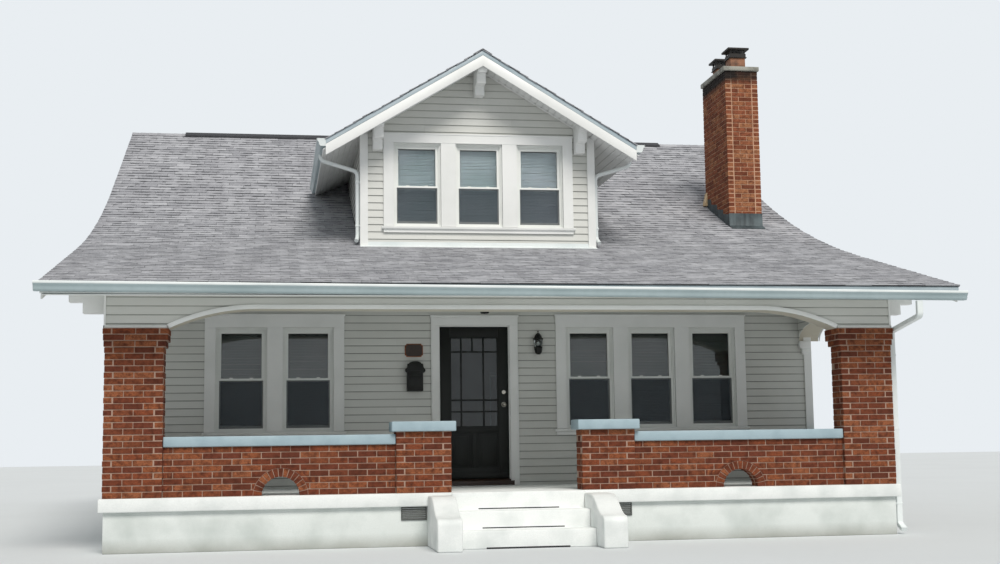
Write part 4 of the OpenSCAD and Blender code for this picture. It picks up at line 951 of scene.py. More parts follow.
eaves = (roof_low.y - overhang, roof_high.y + overhang)
cover = [(y, along(top_line, y)) for y in (eaves[0] - 0.01, eaves[1] + 0.01)]
cover = [(y, z + skin) for y, z in (cover[0], *top_line, cover[1])]
cover += [(y, z - 0.05) for y, z in reversed(cover)]
roof_skin = solid("roof_skin", (shingle_grey, [pushed(cover, 0, -rake_x - rake_lip, rake_x + rake_lip)]))
dormer_face, wall_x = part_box("dormer_walls")[0].y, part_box("dormer_walls")[1].x
gable = [(-wall_x, 3), (wall_x, 3)] + [(x, dormer_top(x)) for x in (wall_x, 0, -wall_x)]
dormer_body = solid("dormer_body", (shingle_grey, [pushed(gable, 1, dormer_face, dormer_high.y)]))
stack = solid("stack", (mortar, [block(stack_low, stack_high)]))
tabs_across = math.ceil(2 * (rake_x + 0.3) / tab_w) + 1
for name, eave, seed, drop in (("front_shingles", eaves[0], 21, [dormer_body, stack]),
                               ("rear_shingles", eaves[1], 22, [])):
    bends = [(y, z) for y, z in top_line if min(eave, ridge_y) < y < max(eave, ridge_y)]
    path = sorted([(eave, along(top_line, eave)), (ridge_y, ridge_z)] + bends, reverse=eave > ridge_y)
    path = [(0, y, z) for y, z in path]
    tabs = lay_rows(name, path, tab, exposure, tabs_across, tab_w, 1 / 3, shingle_grey, seed,
                    (0.0, 0.007, 0.0022))
    cut(tabs, [roof_skin], drop)
    hand_in(tabs, "shingles", "main_roof")

# %% The dormer's shingles
barge_y = dormer_low.y - 0.025  # the front face of the dormer's barge boards
dormer_mid = (barge_y + dormer_high.y) / 2
dormer_reach = dormer_high.x + 0.015
cover = [(x, dormer_top(x) + skin) for x in (-dormer_reach, 0, dormer_reach)]
under = [(x, dormer_top(x) - 0.05) for x, _ in cover]
cover = pushed(cover[:1] + under + cover[:0:-1], 1, barge_y - rake_lip, dormer_high.y + 0.1)
dormer_skin = solid("dormer_skin", (shingle_grey, [cover]))
under_roof = top_line + [(top_line[-1][0], 0), (top_line[0][0], 0)]
roof_body = solid("roof_body", (shingle_grey, [pushed(under_roof, 0, -rake_x, rake_x)]))
tabs_across = math.ceil((dormer_high.y - barge_y) / tab_w) + 3
for sign, label in ((-1, "left"), (1, "right")):
    path = [(sign * dormer_reach, dormer_mid, dormer_top(dormer_reach)), (0, dormer_mid, dormer_high.z)]
    tabs = lay_rows("dormer_shingles_" + label, path, tab, exposure, tabs_across, tab_w, 1 / 3, shingle_grey,
                    23 + sign, (0.007, 0.0, 0.0022))
    cut(tabs, [dormer_skin], [roof_body])
    hand_in(tabs, "shingles", "dormer_roof")

# %% Ridge caps
cap_w, cap_t = 0.15, 0.006  # half width on the slope, thickness
vent_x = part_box("ridge_vent")[1].x
main_fall = ridge_z - along(top_line, ridge_y - 1)


def ridge_cap(name, fall):
    """A shingle folded over a ridge that runs along x, its butt raised."""
    slope = math.atan(fall)
    run, drop = cap_w * math.cos(slope), cap_w * math.sin(slope)
    section = [(-run, -drop), (0, 0), (run, -drop), (run, -drop - cap_t), (0, -cap_t), (-run, -drop - cap_t)]
    corners, faces = pushed(section, 0, 0, tab_long)
    corners = [(x, y, z + (0.002 if x else 0.009)) for x, y, z in corners]
    return solid(name, (shingle_grey, [(corners, faces)]))


main_cap, dormer_cap = ridge_cap("main_cap", main_fall), ridge_cap("dormer_cap", dormer_fall)
end_x = rake_x + rake_lip
places = []
for k in range(math.ceil((end_x - vent_x) / exposure)):
    places.append(((end_x - exposure * k, ridge_y, ridge_z), math.pi, whole))
    places.append(((exposure * k - end_x, ridge_y, ridge_z), 0, whole))
hand_in(lay("ridge_caps", main_cap, places, shingle_grey, 31, (0, 0.002, 0)), "shingles")
caps_y = barge_y - rake_lip
places = [((0, caps_y + exposure * k, dormer_high.z), math.pi / 2, whole)
          for k in range(int((dormer_high.y - caps_y) / exposure) - 1)]
hand_in(lay("dormer_ridge_caps", dormer_cap, places, shingle_grey, 32, (0.002, 0, 0)), "shingles")
scrap(roof_skin, dormer_body, stack, dormer_skin, main_cap, dormer_cap)

# %% [markdown]
# Lap siding is a stack of boards. Each board's lower edge stands 10 mm proud of the one below and throws
# the thin shadow line that runs across the whole house, deepened by painted shade in the enamel. The
# boards are 100 mm apart and 3.66 m long, so their joints show here and there. They are laid past the
# edges of the wall and then cut with a copy of the frame's own wall, whose window holes and slopes they
# follow exactly.

# %% Lap siding
front_y, rear_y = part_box("front_wall_left")[0].y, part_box("rear_wall")[1].y
left_x, right_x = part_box("left_wall")[0].x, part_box("right_wall")[1].x
board_l = 3.66
lap = 0.012
siding_t = 0.0155  # how far the wall's core lies behind the boards' lips
lap_section = [(0.016, 0.007), (0.002, 0.007), (0.002, 0.0), (0.0, 0.0), (0.0125, board_exposure + lap),
               (0.016, board_exposure + lap)]
lap_board = solid("lap_board", (siding_enamel, [pushed(lap_section, 0, 0.0005, board_l - 0.0005)]))


def faces_of(node, *sides):
    """A node's outer faces: each one's side, distance outward, and start and end along the wall's right."""
    faces = []
    for side in sides:
        (start, end), (_, reach) = seen_from(side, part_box(node))
        faces.append((side, reach, start, end))
    return faces


def clad(name, node, faces, seed, base=course_base, enamel=siding_enamel, inside=plaster):
    """Boards on these faces and a plastered core, in place of a wall node."""
    core = copy_of(node)
    core.name = name + "_core"
    heights = [vert.co.z for vert in core.data.vertices]
    places = []
    for side, reach, start, end in faces:
        out, right = facings[side], up.cross(facings[side])
        for row in range(math.floor((min(heights) - base) / board_exposure),
                         math.ceil((max(heights) - base) / board_exposure)):
            at = start - 0.35 - (row * 5 % 3) * board_l / 3
            while at < end:
                spot = right * at + out * reach + up * (base + row * board_exposure)
                places.append((spot, math.atan2(right.y, right.x), whole))
                at += board_l
    boards = cut(lay(name + "_siding", lap_board, places, enamel, seed), [core])
    hand_in(boards, "siding", node)
    core.data.materials.append(inside)
    for side, reach, _, _ in faces:
        for vert in core.data.vertices:
            if abs(vert.co.dot(facings[side]) - reach) < 1e-4:
                vert.co -= facings[side] * siding_t
    hand_in(core, "siding", node)


walls = {"front_wall_left": ("front", "left"), "front_wall_right": ("front", "right"),
         "front_wall_over_door": ("front",), "left_wall": ("left",), "right_wall": ("right",),
         "rear_wall": ("rear", "left", "right")}
for seed, (node, sides) in enumerate(walls.items(), 41):
    clad(node, node, faces_of(node, *sides), seed)
clad("front_beam", "porch_front_beam", faces_of("porch_front_beam", "front", "rear", "right", "left"), 47)
beam_faces = faces_of("porch_side_beams", "right", "left")
inner_x = porch_x - 0.300
inner_faces = [(side, -inner_x, start, end) for side, _, start, end in reversed(beam_faces)]
clad("side_beams", "porch_side_beams", beam_faces + inner_faces, 48)
dormer_faces = faces_of("dormer_walls", "front", "right", "left")
clad("dormer", "dormer_walls", dormer_faces, 49, dormer_base, dormer_enamel)
clad("floor_rim", "house_floor", faces_of("house_floor", "front", "right", "left", "rear"), 50, inside=oak)
scrap(lap_board)

# %% [markdown]
# Cast and painted masonry, trims and brackets have the right shape in the frame, but edges as sharp as a
# drawing. Each gets a copy with a Bevel of the size that paint, casting and wear give, and its own
# finish.

# %% Softened pieces
worn_edges_mm = {
    (white_masonry, "white_paint"): {"porch_slab": 10, "front_steps": 14, "step_cheeks": 16},
    (blue_masonry, "coping_paint"): {"copings": 10},
    (foundation_wash, "foundation_paint"): {"porch_base": 8, "foundation": 8},
    (trim_paint, "trim_paint"): {"arch_trims": 3, "beam_capitals": 4, "eave_brackets": 6},
    (cast_concrete, "concrete"): {"chimney_cap": 12},
    (flue_clay, "clay"): {"chimney_flues": 6},
    (burnt_steel, "dark_metal"): {"flue_caps": 2},
}
for (material, slot), nodes in worn_edges_mm.items():
    for node, edge in nodes.items():
        made = copy_of(node)
        made.name = node + "_worn"
        made.data.materials.append(material)
        hand_in(soften(made, edge / 1000, 2), slot, node)

# %% [markdown]
# Some small parts only finish an edge: a steel collar where each flue meets its cap, a white moulding
# where the beams sit on the piers, and a thin strip on the beams' outer corner. They are plain sections.

# %% Collars, mouldings and strips
collars = []
for low, high in islands("chimney_flues"):
    for head, proud in ((0.006, 0.010), (-0.052, 0.022)):
        collars.append(pushed(square_plan(low, high, proud), 2, high.z - 0.066, high.z + head))
hand_in(soften(solid("flue_collars", (burnt_steel, collars)), 0.003), "dark_metal")
mouldings = []
for sign in (-1, 1):
    for inner, back in ((pier_w + 0.03, 0.002), (0.002, pier_w + 0.02)):
        mouldings.append(block((sign * (porch_x - inner), face_y - 0.014, pier_top + 0.001),
                               (sign * (porch_x + 0.014), face_y + back, pier_top + 0.032)))
    mouldings.append(block((sign * (porch_x - 0.012), face_y - 0.010, pier_top + 0.030),
                           (sign * (porch_x + 0.010), face_y + 0.012, beam_high.z - 0.02)))
hand_in(soften(solid("beam_mouldings", (trim_paint, mouldings)), 0.003), "trim_paint")

# %% [markdown]
# A sash window is a nest of frames, each a little further back than the last, and the steps between them
# throw the thin double lines that the eye reads as a window. One shape, a hoop, makes every frame.
# Python repeats it for each opening, at sizes measured from the wall face outwards.

# %% Parts of a window
def hoop(low, high, widths, front, back):
    """A flat frame between two corners (right, up). widths: one, or those of its sides, bottom and top."""
    side, foot, head = widths if isinstance(widths, tuple) else (widths, widths, widths)
    outer = square_plan(low, high)
    inner = square_plan((low[0] + side, low[1] + foot), (high[0] - side, high[1] - head))
    corners = [(u, d, v) for d in (front, back) for u, v in outer + inner]
    faces = []
    for k in range(4):
        after = (k + 1) % 4
        faces += [(k, after, 4 + after, 4 + k), (8 + k, 12 + k, 12 + after, 8 + after),
                  (k, 8 + k, 8 + after, after), (4 + k, 4 + after, 12 + after, 12 + k)]
    return corners, faces


casing_w, casing_t, mullion_w = 0.140, 0.024, 0.205
head_cap, sill_drop, apron_drop = 0.022, 0.040, 0.085
window_w = 0.650
pitch = window_w + mullion_w
ring_w1, ring_w2, stile_w = 0.018, 0.014, 0.030
meeting_h = 0.0215  # half the height of the two meeting rails
sill_section = [(-0.030, 0.004), (0.042, -0.005), (0.042, -0.034), (0.034, -sill_drop), (-0.030, -sill_drop)]


def group_casing(count, height, head, cap_out):
    """The boards round a group of openings: casings, mullions, head with its drip cap, sill and apron."""
    first = (count - 1) / 2 * pitch - window_w / 2  # how far left of the middle the mullions start
    half = first + window_w
    edge = half + casing_w
    cap_z = height + head - head_cap
    shapes = [block((-edge, 0, 0), (-half, casing_t, height)), block((half, 0, 0), (edge, casing_t, height)),
              block((-edge, 0, height), (edge, casing_t + 0.003, cap_z)),
              block((-edge - 0.012, 0, cap_z), (edge + 0.012, cap_out, height + head)),
              block((-edge, 0, -apron_drop), (edge, casing_t - 0.004, -sill_drop)),
              pushed(sill_section, 0, -edge - 0.026, edge + 0.026)]
    for k in range(count - 1):
        left = k * pitch - first
        shapes.append(block((left, -0.03, 0), (left + mullion_w, casing_t, height)))
    return shapes


def window_frames(middle, height, rail):
    """Frame, sashes, screen frame and lifts of one opening. rail is the height of the meeting rails."""
    def nested(inset, foot, head, widths, front, back):
        half = window_w / 2 - inset
        return hoop((middle - half, foot), (middle + half, head), widths, front, back)

    sash = ring_w1 + ring_w2
    shapes = [nested(0, 0, height, ring_w1, -0.010, -0.115),
              nested(ring_w1, ring_w1, height - ring_w1, ring_w2, -0.028, -0.105),
              nested(sash, rail - 0.005, height - sash, (stile_w + 0.006, 0.0265, 0.042), -0.045, -0.080),
              nested(sash, sash, rail - 0.005, (stile_w, 0.050, 0.0165), -0.062, -0.097),
              nested(sash - 0.002, sash - 0.002, rail + 0.008, (0.016, 0.016, 0.014), -0.034, -0.043)]
    top = rail + meeting_h
    lift = [(-0.046, top), (-0.062, top), (-0.062, top + 0.012), (-0.052, top + 0.010)]
    return shapes + [pushed(lift, 0, u - 0.022, u + 0.022) for u in (middle - 0.13, middle + 0.13)]


print("window parts: hoop, group_casing, window_frames")

# %% All the windows
attic_z = 3.8  # windows above this height are the low ones of the dormer and the gables
slat_pitch, blind_d = 0.021, -0.128
slat_section = [(-0.0125, 0.0), (-0.0045, 0.0022), (0.0045, 0.0022), (0.0125, 0.0), (0.0045, 0.0013),
                (-0.0045, 0.0013)]
slat = solid("blind_slat", (blind_painted_shade, [pushed(slat_section, 0, -0.290, 0.290)]))
slats = {"house_blinds": [], "dormer_blinds": []}
openings = 0
for node, side in (("front_windows", "front"), ("side_windows", "left"), ("side_windows", "right"),
                   ("rear_windows", "rear"), ("dormer_windows", "front")):
    out = facings[side]
    right = up.cross(out)
    angle = math.atan2(right.y, right.x)
    wood, vinyl, screen = [], [], []
    for box in islands(node):
        (start, end), (_, reach) = seen_from(side, box)
        if reach < 0:
            continue  # a window of the opposite wall
        low_z = box[0].z
        height, head, rail_part, cap_out = (
            (1.160, 0.135, 0.472, 0.032) if low_z > attic_z else (1.345, 0.175, 0.497, 0.046))
        origin = right * (start + end) / 2 + out * (reach - 0.060) + up * (low_z + apron_drop)
        count = round((end - start + mullion_w - 2 * casing_w) / pitch)
        wood += placed(group_casing(count, height, head, cap_out), origin, out)
        for k in range(count):
            u = (k - (count - 1) / 2) * pitch
            head_rail = block((u - 0.30, blind_d - 0.018, height - 0.060),
                              (u + 0.30, blind_d + 0.014, height - 0.028))
            mesh = block((u - 0.28, -0.0395, 0.045), (u + 0.28, -0.0390, height * rail_part))
            vinyl += placed(window_frames(u, height, height * rail_part) + [head_rail], origin, out)
            screen += placed([mesh], origin, out)
            foot = origin + right * u + out * blind_d + up * 0.045
            slats["dormer_blinds" if node == "dormer_windows" else "house_blinds"] += [
                (foot + up * slat_pitch * i, angle, whole) for i in range(int((height - 0.10) / slat_pitch))]
            openings += 1
    name = side + "_side_windows" if node == "side_windows" else node
    joinery = solid(name + "_joinery", (trim_paint, wood), (window_vinyl, vinyl))
    hand_in(soften(joinery, 0.0015), "trim_paint", node)
    hand_in(solid(name + "_screens", (insect_screen, screen)), "dark_metal")
# The house's blinds take the painted shade, the dormer's the painted light.
for (name, places), finish, seed in zip(slats.items(), (blind_painted_shade, blind_painted_light), (61, 62)):
    made = lay(name, slat, places, finish, seed, (0, 0, 0.0015), tilt=math.radians(62))
    hand_in(made, "white_paint")
scrap(slat)
print("openings:", openings)

# %% [markdown]
# Small things break up the white base. A thin dark wedge of painted shade lies along each riser's foot,
# where each tread meets the next riser. A louvred vent sits on both sides of the steps.

# %% Painted shade at the risers, and vents
step_faces = sorted({round(v.co.y, 4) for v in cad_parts["front_steps"].data.vertices})[:3]
low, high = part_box("front_steps")
wedge = [(0.004, -0.004), (0.004, 0.024), (-0.0015, 0.018), (-0.003, 0.0015), (-0.003, -0.004)]
# A thin dark wedge of painted shade lies along each riser's foot.
riser_shade_strips = []
for k, y in enumerate(step_faces):
    foot = k * (high.z - low.z) / 3
    riser_shade_strips.append(pushed([(y + d, max(foot + v, 0.001)) for d, v in wedge], 0, -0.47, 0.47))
hand_in(solid("step_joints", (tarred_felt, riser_shade_strips)), "dark_metal")
vent_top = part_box("porch_slab")[0].z - 0.004
cheek_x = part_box("step_cheeks")[1].x
vents = []
for sign in (-1, 1):
    near, far = sorted((sign * (cheek_x + 0.006), sign * (cheek_x + 0.300)))
    vents.append(hoop((near, vent_top - 0.150), (far, vent_top), 0.014, 0.012, -0.002))
    for k in range(6):
        z = vent_top - 0.135 + 0.0205 * k
        louvre = [(0.0005, z), (0.009, z - 0.004), (0.009, z - 0.002), (0.0005, z + 0.012)]
        vents.append(pushed(louvre, 0, near + 0.01, far - 0.01))
vents = placed(vents, Vector((0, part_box("porch_base")[0].y, 0)), facings["front"])
hand_in(soften(solid("base_vents", (weathered_zinc, vents)), 0.0008), "dark_metal")

# %% [markdown]
# The front door is panelled: stiles and rails, sunk panels with a raised field below, and glass divided
# by muntins above. Everything that swings rides on the door's body, and the frame round it on the house.

# %% The door's leaf
leaf_low, leaf_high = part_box("front_door")
pane_low, pane_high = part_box("door_glass")
leaf_front = front_y - leaf_low.y
leaf_back = leaf_front - 0.045
stile_l, stile_r = pane_low.x, pane_high.x
panel_low, panel_high = leaf_low.z + 0.140, pane_low.z - 0.070
panel_mid = (stile_l + stile_r) / 2
middle_l, middle_r = panel_mid - 0.035, panel_mid + 0.035
muntin = 0.011  # half the width of a muntin
muntin_rows, muntin_posts = (2.356, 1.717, 1.565), (-0.334, -0.035, -0.184)


def on_front(shapes, x=0, z=0):
    """Shapes drawn on the front wall, as (right, outward, up) from a point of it."""
    return placed(shapes, Vector((x, front_y, z)), facings["front"])


def slab(left, foot, right, head, back_in=0.0, front_in=0.0):
    """A board of the leaf between two corners, set in from the leaf's back and front."""
    return block((left, leaf_back + back_in, foot), (right, leaf_front - front_in, head))


leaf = [slab(*edges) for edges in (
    (leaf_low.x, leaf_low.z, stile_l, leaf_high.z), (stile_r, leaf_low.z, leaf_high.x, leaf_high.z),
    (stile_l, leaf_low.z, stile_r, panel_low), (stile_l, panel_high, stile_r, pane_low.z),
    (stile_l, pane_high.z, stile_r, leaf_high.z), (middle_l, panel_low, middle_r, panel_high))]
leaf += [hoop((stile_l, pane_low.z), (stile_r, pane_high.z), 0.014, leaf_back + 0.004, leaf_front - 0.004),
         block((leaf_low.x + 0.02, leaf_front, leaf_low.z + 0.006),
               (leaf_high.x - 0.02, leaf_front + 0.006, leaf_low.z + 0.070))]
for left, right in ((stile_l, middle_l), (middle_r, stile_r)):
    leaf.append(slab(left, panel_low, right, panel_high, 0.012, 0.012))
    leaf.append(hoop((left, panel_low), (right, panel_high), 0.016, leaf_back + 0.006, leaf_front - 0.006))
    leaf.append(slab(left + 0.048, panel_low + 0.048, right - 0.048, panel_high - 0.048, 0.007, 0.005))
for z in muntin_rows:
    leaf.append(slab(stile_l, z - muntin, stile_r, z + muntin, 0.009, 0.009))
for x, foot in zip(muntin_posts, (pane_low.z, pane_low.z, muntin_rows[0])):
    leaf.append(slab(x - muntin, foot, x + muntin, pane_high.z, 0.008, 0.008))
door_leaf = solid("door_leaf", (door_paint, on_front(leaf)))
hand_in(soften(door_leaf, 0.0025, 2), "door_paint", "front_door", body="door")


def turned_out(profile, u, v, base, sides):
    """A turned shape whose axis points out of a wall, at (right, up). Its heights go outward from base."""
    corners, faces = turned(profile, (u, v, base), sides)
    return [(x, d, y) for x, y, d in corners], faces


low, high = islands("door_knob")[0]
knob_x, knob_z = (low.x + high.x) / 2, (low.z + high.z) / 2
lock_z = knob_z + 0.165
rose = [(0, -0.001), (0.034, -0.001), (0.034, 0.004), (0.026, 0.008), (0, 0.008)]
lock = [(0, -0.001), (0.029, -0.001), (0.029, 0.009), (0.024, 0.013), (0.011, 0.013), (0.011, 0.017),
        (0, 0.017)]
hinge = [(0, -0.045), (0.006, -0.045), (0.006, 0.045), (0, 0.045)]
furniture = [turned_out(rose, knob_x, knob_z, leaf_front, 24),
             turned_out(lock, knob_x, lock_z, leaf_front, 24),
             block((knob_x - 0.0015, leaf_front + 0.015, lock_z - 0.006),
                   (knob_x + 0.0015, leaf_front + 0.018, lock_z + 0.006))]
furniture += [turned(hinge, (leaf_low.x + 0.004, leaf_back - 0.006, z), 12)
              for z in (leaf_low.z + 0.22, (leaf_low.z + leaf_high.z) / 2, leaf_high.z - 0.22)]
furniture = solid("door_furniture", (brushed_nickel, on_front(furniture)))
hand_in(soften(furniture, 0.0008), "nickel", body="door")

# %% The door's frame
low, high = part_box("door_frame")
clear_low, clear_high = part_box("front_wall_left")[1].x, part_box("front_wall_right")[0].x
gap = 0.003  # between the leaf and its jambs
inner_low, inner_high, door_head = leaf_low.x - gap, leaf_high.x + gap, leaf_high.z + gap
stop_back, stop_front = leaf_front + 0.001, leaf_front + 0.030
cap_z = high.z - head_cap
wood = [block((low.x, 0, door_head), (high.x, casing_t + 0.003, cap_z)),
        block((low.x - 0.010, 0, cap_z), (high.x + 0.010, 0.044, high.z)),
        hoop((low.x + 0.012, low.z), (high.x - 0.012, cap_z - 0.012), (0.010, 0, 0.010),
             casing_t + 0.006, casing_t - 0.002),
        block((clear_low, -0.2, door_head), (clear_high, 0, door_head + 0.040)),
        block((inner_low, stop_back, door_head - 0.014), (inner_high, stop_front, door_head))]
for sign, outer, inner, clear in ((1, low.x, inner_low, clear_low),
                                  (-1, high.x, inner_high, clear_high)):
    wood += [block((outer, 0, low.z), (inner, casing_t, door_head)),
             block((clear - sign * 0.002, -0.2, low.z + 0.06), (inner, 0, door_head)),
             block((inner - sign * 0.002, stop_back, leaf_low.z - 0.02),
                   (inner + sign * 0.012, stop_front, door_head))]
tread = [(0.030, 0.600), (0.030, 0.655), (0.012, 0.668), (-0.040, 0.683), (-0.120, 0.683), (-0.200, 0.664),
         (-0.200, 0.600)]
button = [(0, 0.010), (0.009, 0.010), (0.008, 0.014), (0, 0.014)]
bell = [block((0.342, casing_t, 1.790), (0.372, casing_t + 0.010, 1.874)),
        turned_out(button, 0.357, 1.842, casing_t, 16)]
tread = [pushed(tread, 0, clear_low, clear_high)]
door_casing = solid("door_casing", (trim_paint, on_front(wood)), (window_vinyl, on_front(bell)),
                    (brown_lacquer, on_front(tread)))
hand_in(soften(door_casing, 0.002), "trim_paint", "door_frame")

# %% [markdown]
# Under the eaves and over the porch run narrow boards with a V-groove at each joint. The row tree lays
# them along the roof's underside, one board to a row. The porch ceiling and the oak floor are laid board
# by board.

# %% Soffits
plank_w, plank_t, groove = 0.095, 0.012, 0.006
plank_gap = 0.001  # between the boards and what they are nailed to
side_w = roof_high.x - right_x  # how far the roof reaches past the side walls
two_sides = ((-1, "left"), (1, "right"))


def plank(name, length, width):
    """A board with chamfered edges, its top at z 0, its length along x."""
    half = width / 2 - 0.0015
    outline = [(-half, 0), (half, 0), (half, groove - plank_t), (half - groove, -plank_t),
               (groove - half, -plank_t), (-half, groove - plank_t)]
    return solid(name, (trim_paint, [pushed(outline, 0, -length / 2, length / 2)]))


def soffit(name, path, length, seed, drop=()):
    """Boards of one length under a path of points."""
    piece = plank(name + "_board", length, plank_w)
    made = lay_rows(name, path, piece, plank_w, 1, 1.0, 0.0, trim_paint, seed, (0, 0, 0.0006))
    scrap(piece)
    hand_in(cut(made, drop=drop) if drop else made, "trim_paint")


def dormer_under(x):
    """The height of the boards under the dormer's roof at x."""
    return dormer_top(x) - dormer_t - plank_gap


for sign, label in two_sides:
    path = [(sign * (right_x + side_w / 2), y, z - plank_gap) for y, z in low_line]
    soffit("gable_soffit_" + label, path, side_w - 0.004, 71 + sign)
for name, ends, seed in (("front_eave_soffit", (roof_low.y + 0.01, beam_low.y), 73),
                         ("rear_eave_soffit", (roof_high.y - 0.01, rear_y), 74)):
    soffit(name, [(0, y, along(low_line, y) - plank_gap) for y in ends], 2 * right_x, seed)
for sign, label in two_sides:
    for part, far, ends, seed, drop in (
            ("front", dormer_face, (wall_x, 0.0), 76, []),
            ("side", dormer_high.y, (dormer_high.x - 0.002, wall_x), 79, [roof_body])):
        path = [(sign * x, (dormer_low.y + far) / 2, dormer_under(x)) for x in ends]
        name = "dormer_%s_soffit_%s" % (part, label)
        soffit(name, path, far - dormer_low.y - 0.004, seed + sign, drop)

# %% The porch ceiling and the oak floor
ceiling_w = 0.127
low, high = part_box("porch_ceiling")
ceiling_plank = plank("ceiling_plank", high.y - low.y, ceiling_w)
middle, level = (low.y + high.y) / 2, low.z + plank_t + plank_gap
places = [((low.x + ceiling_w * (k + 0.5), middle, level), math.pi / 2, whole)
          for k in range(int((high.x - low.x) / ceiling_w))]
ceiling = lay("porch_ceiling_boards", ceiling_plank, places, trim_paint, 75, (0, 0, 0.0008))
hand_in(ceiling, "trim_paint", "porch_ceiling")

low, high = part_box("house_floor")
oak_l, oak_w = 1.8, 0.057
room_x = 4.3  # the room's half width
oak_section = [(-0.0283, -0.004), (0.0283, -0.004), (0.0283, 0), (-0.0283, 0)]
oak_plank = solid("oak_plank", (oak, [pushed(oak_section, 0, 0.0005, oak_l - 0.0005)]))
start, level = low.y + 0.20, high.z + 0.0045
places = [((oak_l * (k - row % 3 / 3) - room_x, start + oak_w * row, level), 0, whole)
          for row in range(210) for k in range(6)]
inside = block((-room_x - 0.01, low.y + 0.17, 0), (room_x + 0.01, rear_y - 0.2, 3))
inside = solid("inside", (oak, [inside]))
boards = cut(lay("oak_floorboards", oak_plank, places, oak, 77, (0, 0, 0.0003)), [inside])
hand_in(boards, "floor_boards")
scrap(ceiling_plank, oak_plank, inside)

# %% [markdown]
# The rakes and the eaves end in two steps: a blue-grey fascia bent from sheet metal above, and a white
# board below it, which stands a little further back. Each is a band between two depths under the roof's
# line.

# %% Rake and eave boards
fascia_low, board_low = 0.105, 0.205
rake_in = roof_high.x - 0.002


def lowered(line, by):
    """A line of (y, z) points moved down, square to its slope."""
    moved = []
    for k, (y, z) in enumerate(line):
        before, after = line[max(k - 1, 0)], line[min(k + 1, len(line) - 1)]
        run, rise = after[0] - before[0], after[1] - before[1]
        if (y, z) == (ridge_y, ridge_z):
            moved.append((y, z - by * math.hypot(1, main_fall)))
        elif k in (0, len(line) - 1):
            moved.append((y, z - by * math.hypot(1, rise / run)))
        else:
            length = math.hypot(run, rise)
            moved.append((y + by * rise / length, z - by * run / length))
    return moved


def rake_band(top, bottom):
    """The outline (y, z) of a band along the main roof's end."""
    return lowered(top_line, top) + list(reversed(lowered(top_line, bottom)))


def barge_band(top, bottom):
    """The outline (x, z) of a band along the dormer's gable."""
    scale = math.hypot(1, dormer_fall)
    upper = [(x, dormer_top(x) - top * scale) for x in (-dormer_high.x, 0, dormer_high.x)]
    return upper + [(x, z - (bottom - top) * scale) for x, z in reversed(upper)]


sheet = [pushed(barge_band(0.016, 0.070), 1, barge_y + 0.004, dormer_low.y + 0.002)]
timber = [pushed(barge_band(0.074, 0.200), 1, barge_y - 0.002, dormer_low.y + 0.002)]
# Starter strips of tarred felt along each eave hang just under the shingles' edge, partly painted shade for
# the dark line there.
starter = []
side_z = dormer_top(dormer_high.x)
for sign in (-1, 1):
    sheet.append(pushed(rake_band(0.016, fascia_low), 0, sign * rake_in, sign * rake_x))
    timber.append(pushed(rake_band(fascia_low, board_low), 0, sign * rake_in, sign * (rake_x - 0.010)))
    sheet.append(block((sign * dormer_high.x, dormer_low.y, side_z - 0.125),
                       (sign * (dormer_high.x - 0.022), dormer_low.y + 3.5, side_z - 0.014)))
for y, out_y in ((roof_low.y, -1), (roof_high.y, 1)):
    edge_z = along(top_line, y)
    near, far = y - out_y * 0.002, y + out_y * 0.022
    sheet.append(block((-rake_x, near, edge_z - 0.100), (rake_x, far, edge_z - 0.018)))
    timber.append(block((-rake_x, near, edge_z - 0.150), (rake_x, far, edge_z - 0.099)))
    near, far = y - out_y * 0.05, y + out_y * (overhang - 0.004)
    starter.append(block((-rake_x - 0.008, near, edge_z - 0.030), (rake_x + 0.008, far, edge_z - 0.017)))
hand_in(solid("starter_strips", (tarred_felt, starter)), "dark_shingles")
rakes = solid("rake_and_eave_boards", (blue_enamel, sheet), (trim_paint, timber))
hand_in(soften(rakes, 0.003, 2), "trim_paint", "rake_boards")

# %% Corner boards
corner_w, corner_t, tuck = 0.089, 0.018, 0.004  # width, thickness, and how far they reach into the wall
siding_foot = 0.42


def corner_board(x, y, low, high, into):
    """Two boards round an outside corner. into points along y, into the house."""
    side = -1 if x > 0 else 1
    plan = [(-corner_t, -corner_t), (-corner_t, corner_w), (tuck, corner_w), (tuck, tuck), (corner_w, tuck),
            (corner_w, -corner_t)]
    return pushed([(x + side * u, y + into * v) for u, v in plan], 2, low, high)


corners = []
for y, into in ((front_y, 1), (rear_y, -1)):
    corners += [corner_board(x, y, siding_foot, along(low_line, y) + 0.01, into) for x in (left_x, right_x)]
face_z = along(top_line, dormer_face)
corners += [corner_board(x, dormer_face, face_z - 0.02, dormer_under(x), 1) for x in (-wall_x, wall_x)]
frieze = [(x, dormer_under(x) - 0.016) for x in (-wall_x, 0, wall_x)]
frieze += [(x, z - 0.018) for x, z in reversed(frieze)]
corners.append(pushed(frieze, 1, dormer_face - 0.016, dormer_face + 0.002))
hand_in(soften(solid("corner_boards", (trim_paint, corners)), 0.002), "trim_paint")

# %% [markdown]
# Where a wall or a chimney meets a roof, sheet metal keeps the rain out. It lies a hand's width on the
# shingles and turns up the wall. Beside the chimney its top climbs in steps, one for every few courses
# of bricks.

# %% Flashing
lead_t = 0.003


def apron(y, back, rise, bend, reach, lift):
    """The section of flashing at a wall's foot, up the wall by rise and down the roof by reach."""
    foot_z, lip_z = along(top_line, y), along(top_line, y - reach)
    return [(y - back, foot_z + rise), (y - back - lead_t, foot_z + rise), (y - 0.008, foot_z + bend),
            (y - reach, lip_z + lift), (y - reach, lip_z - 0.004), (y - back, foot_z - 0.004)]


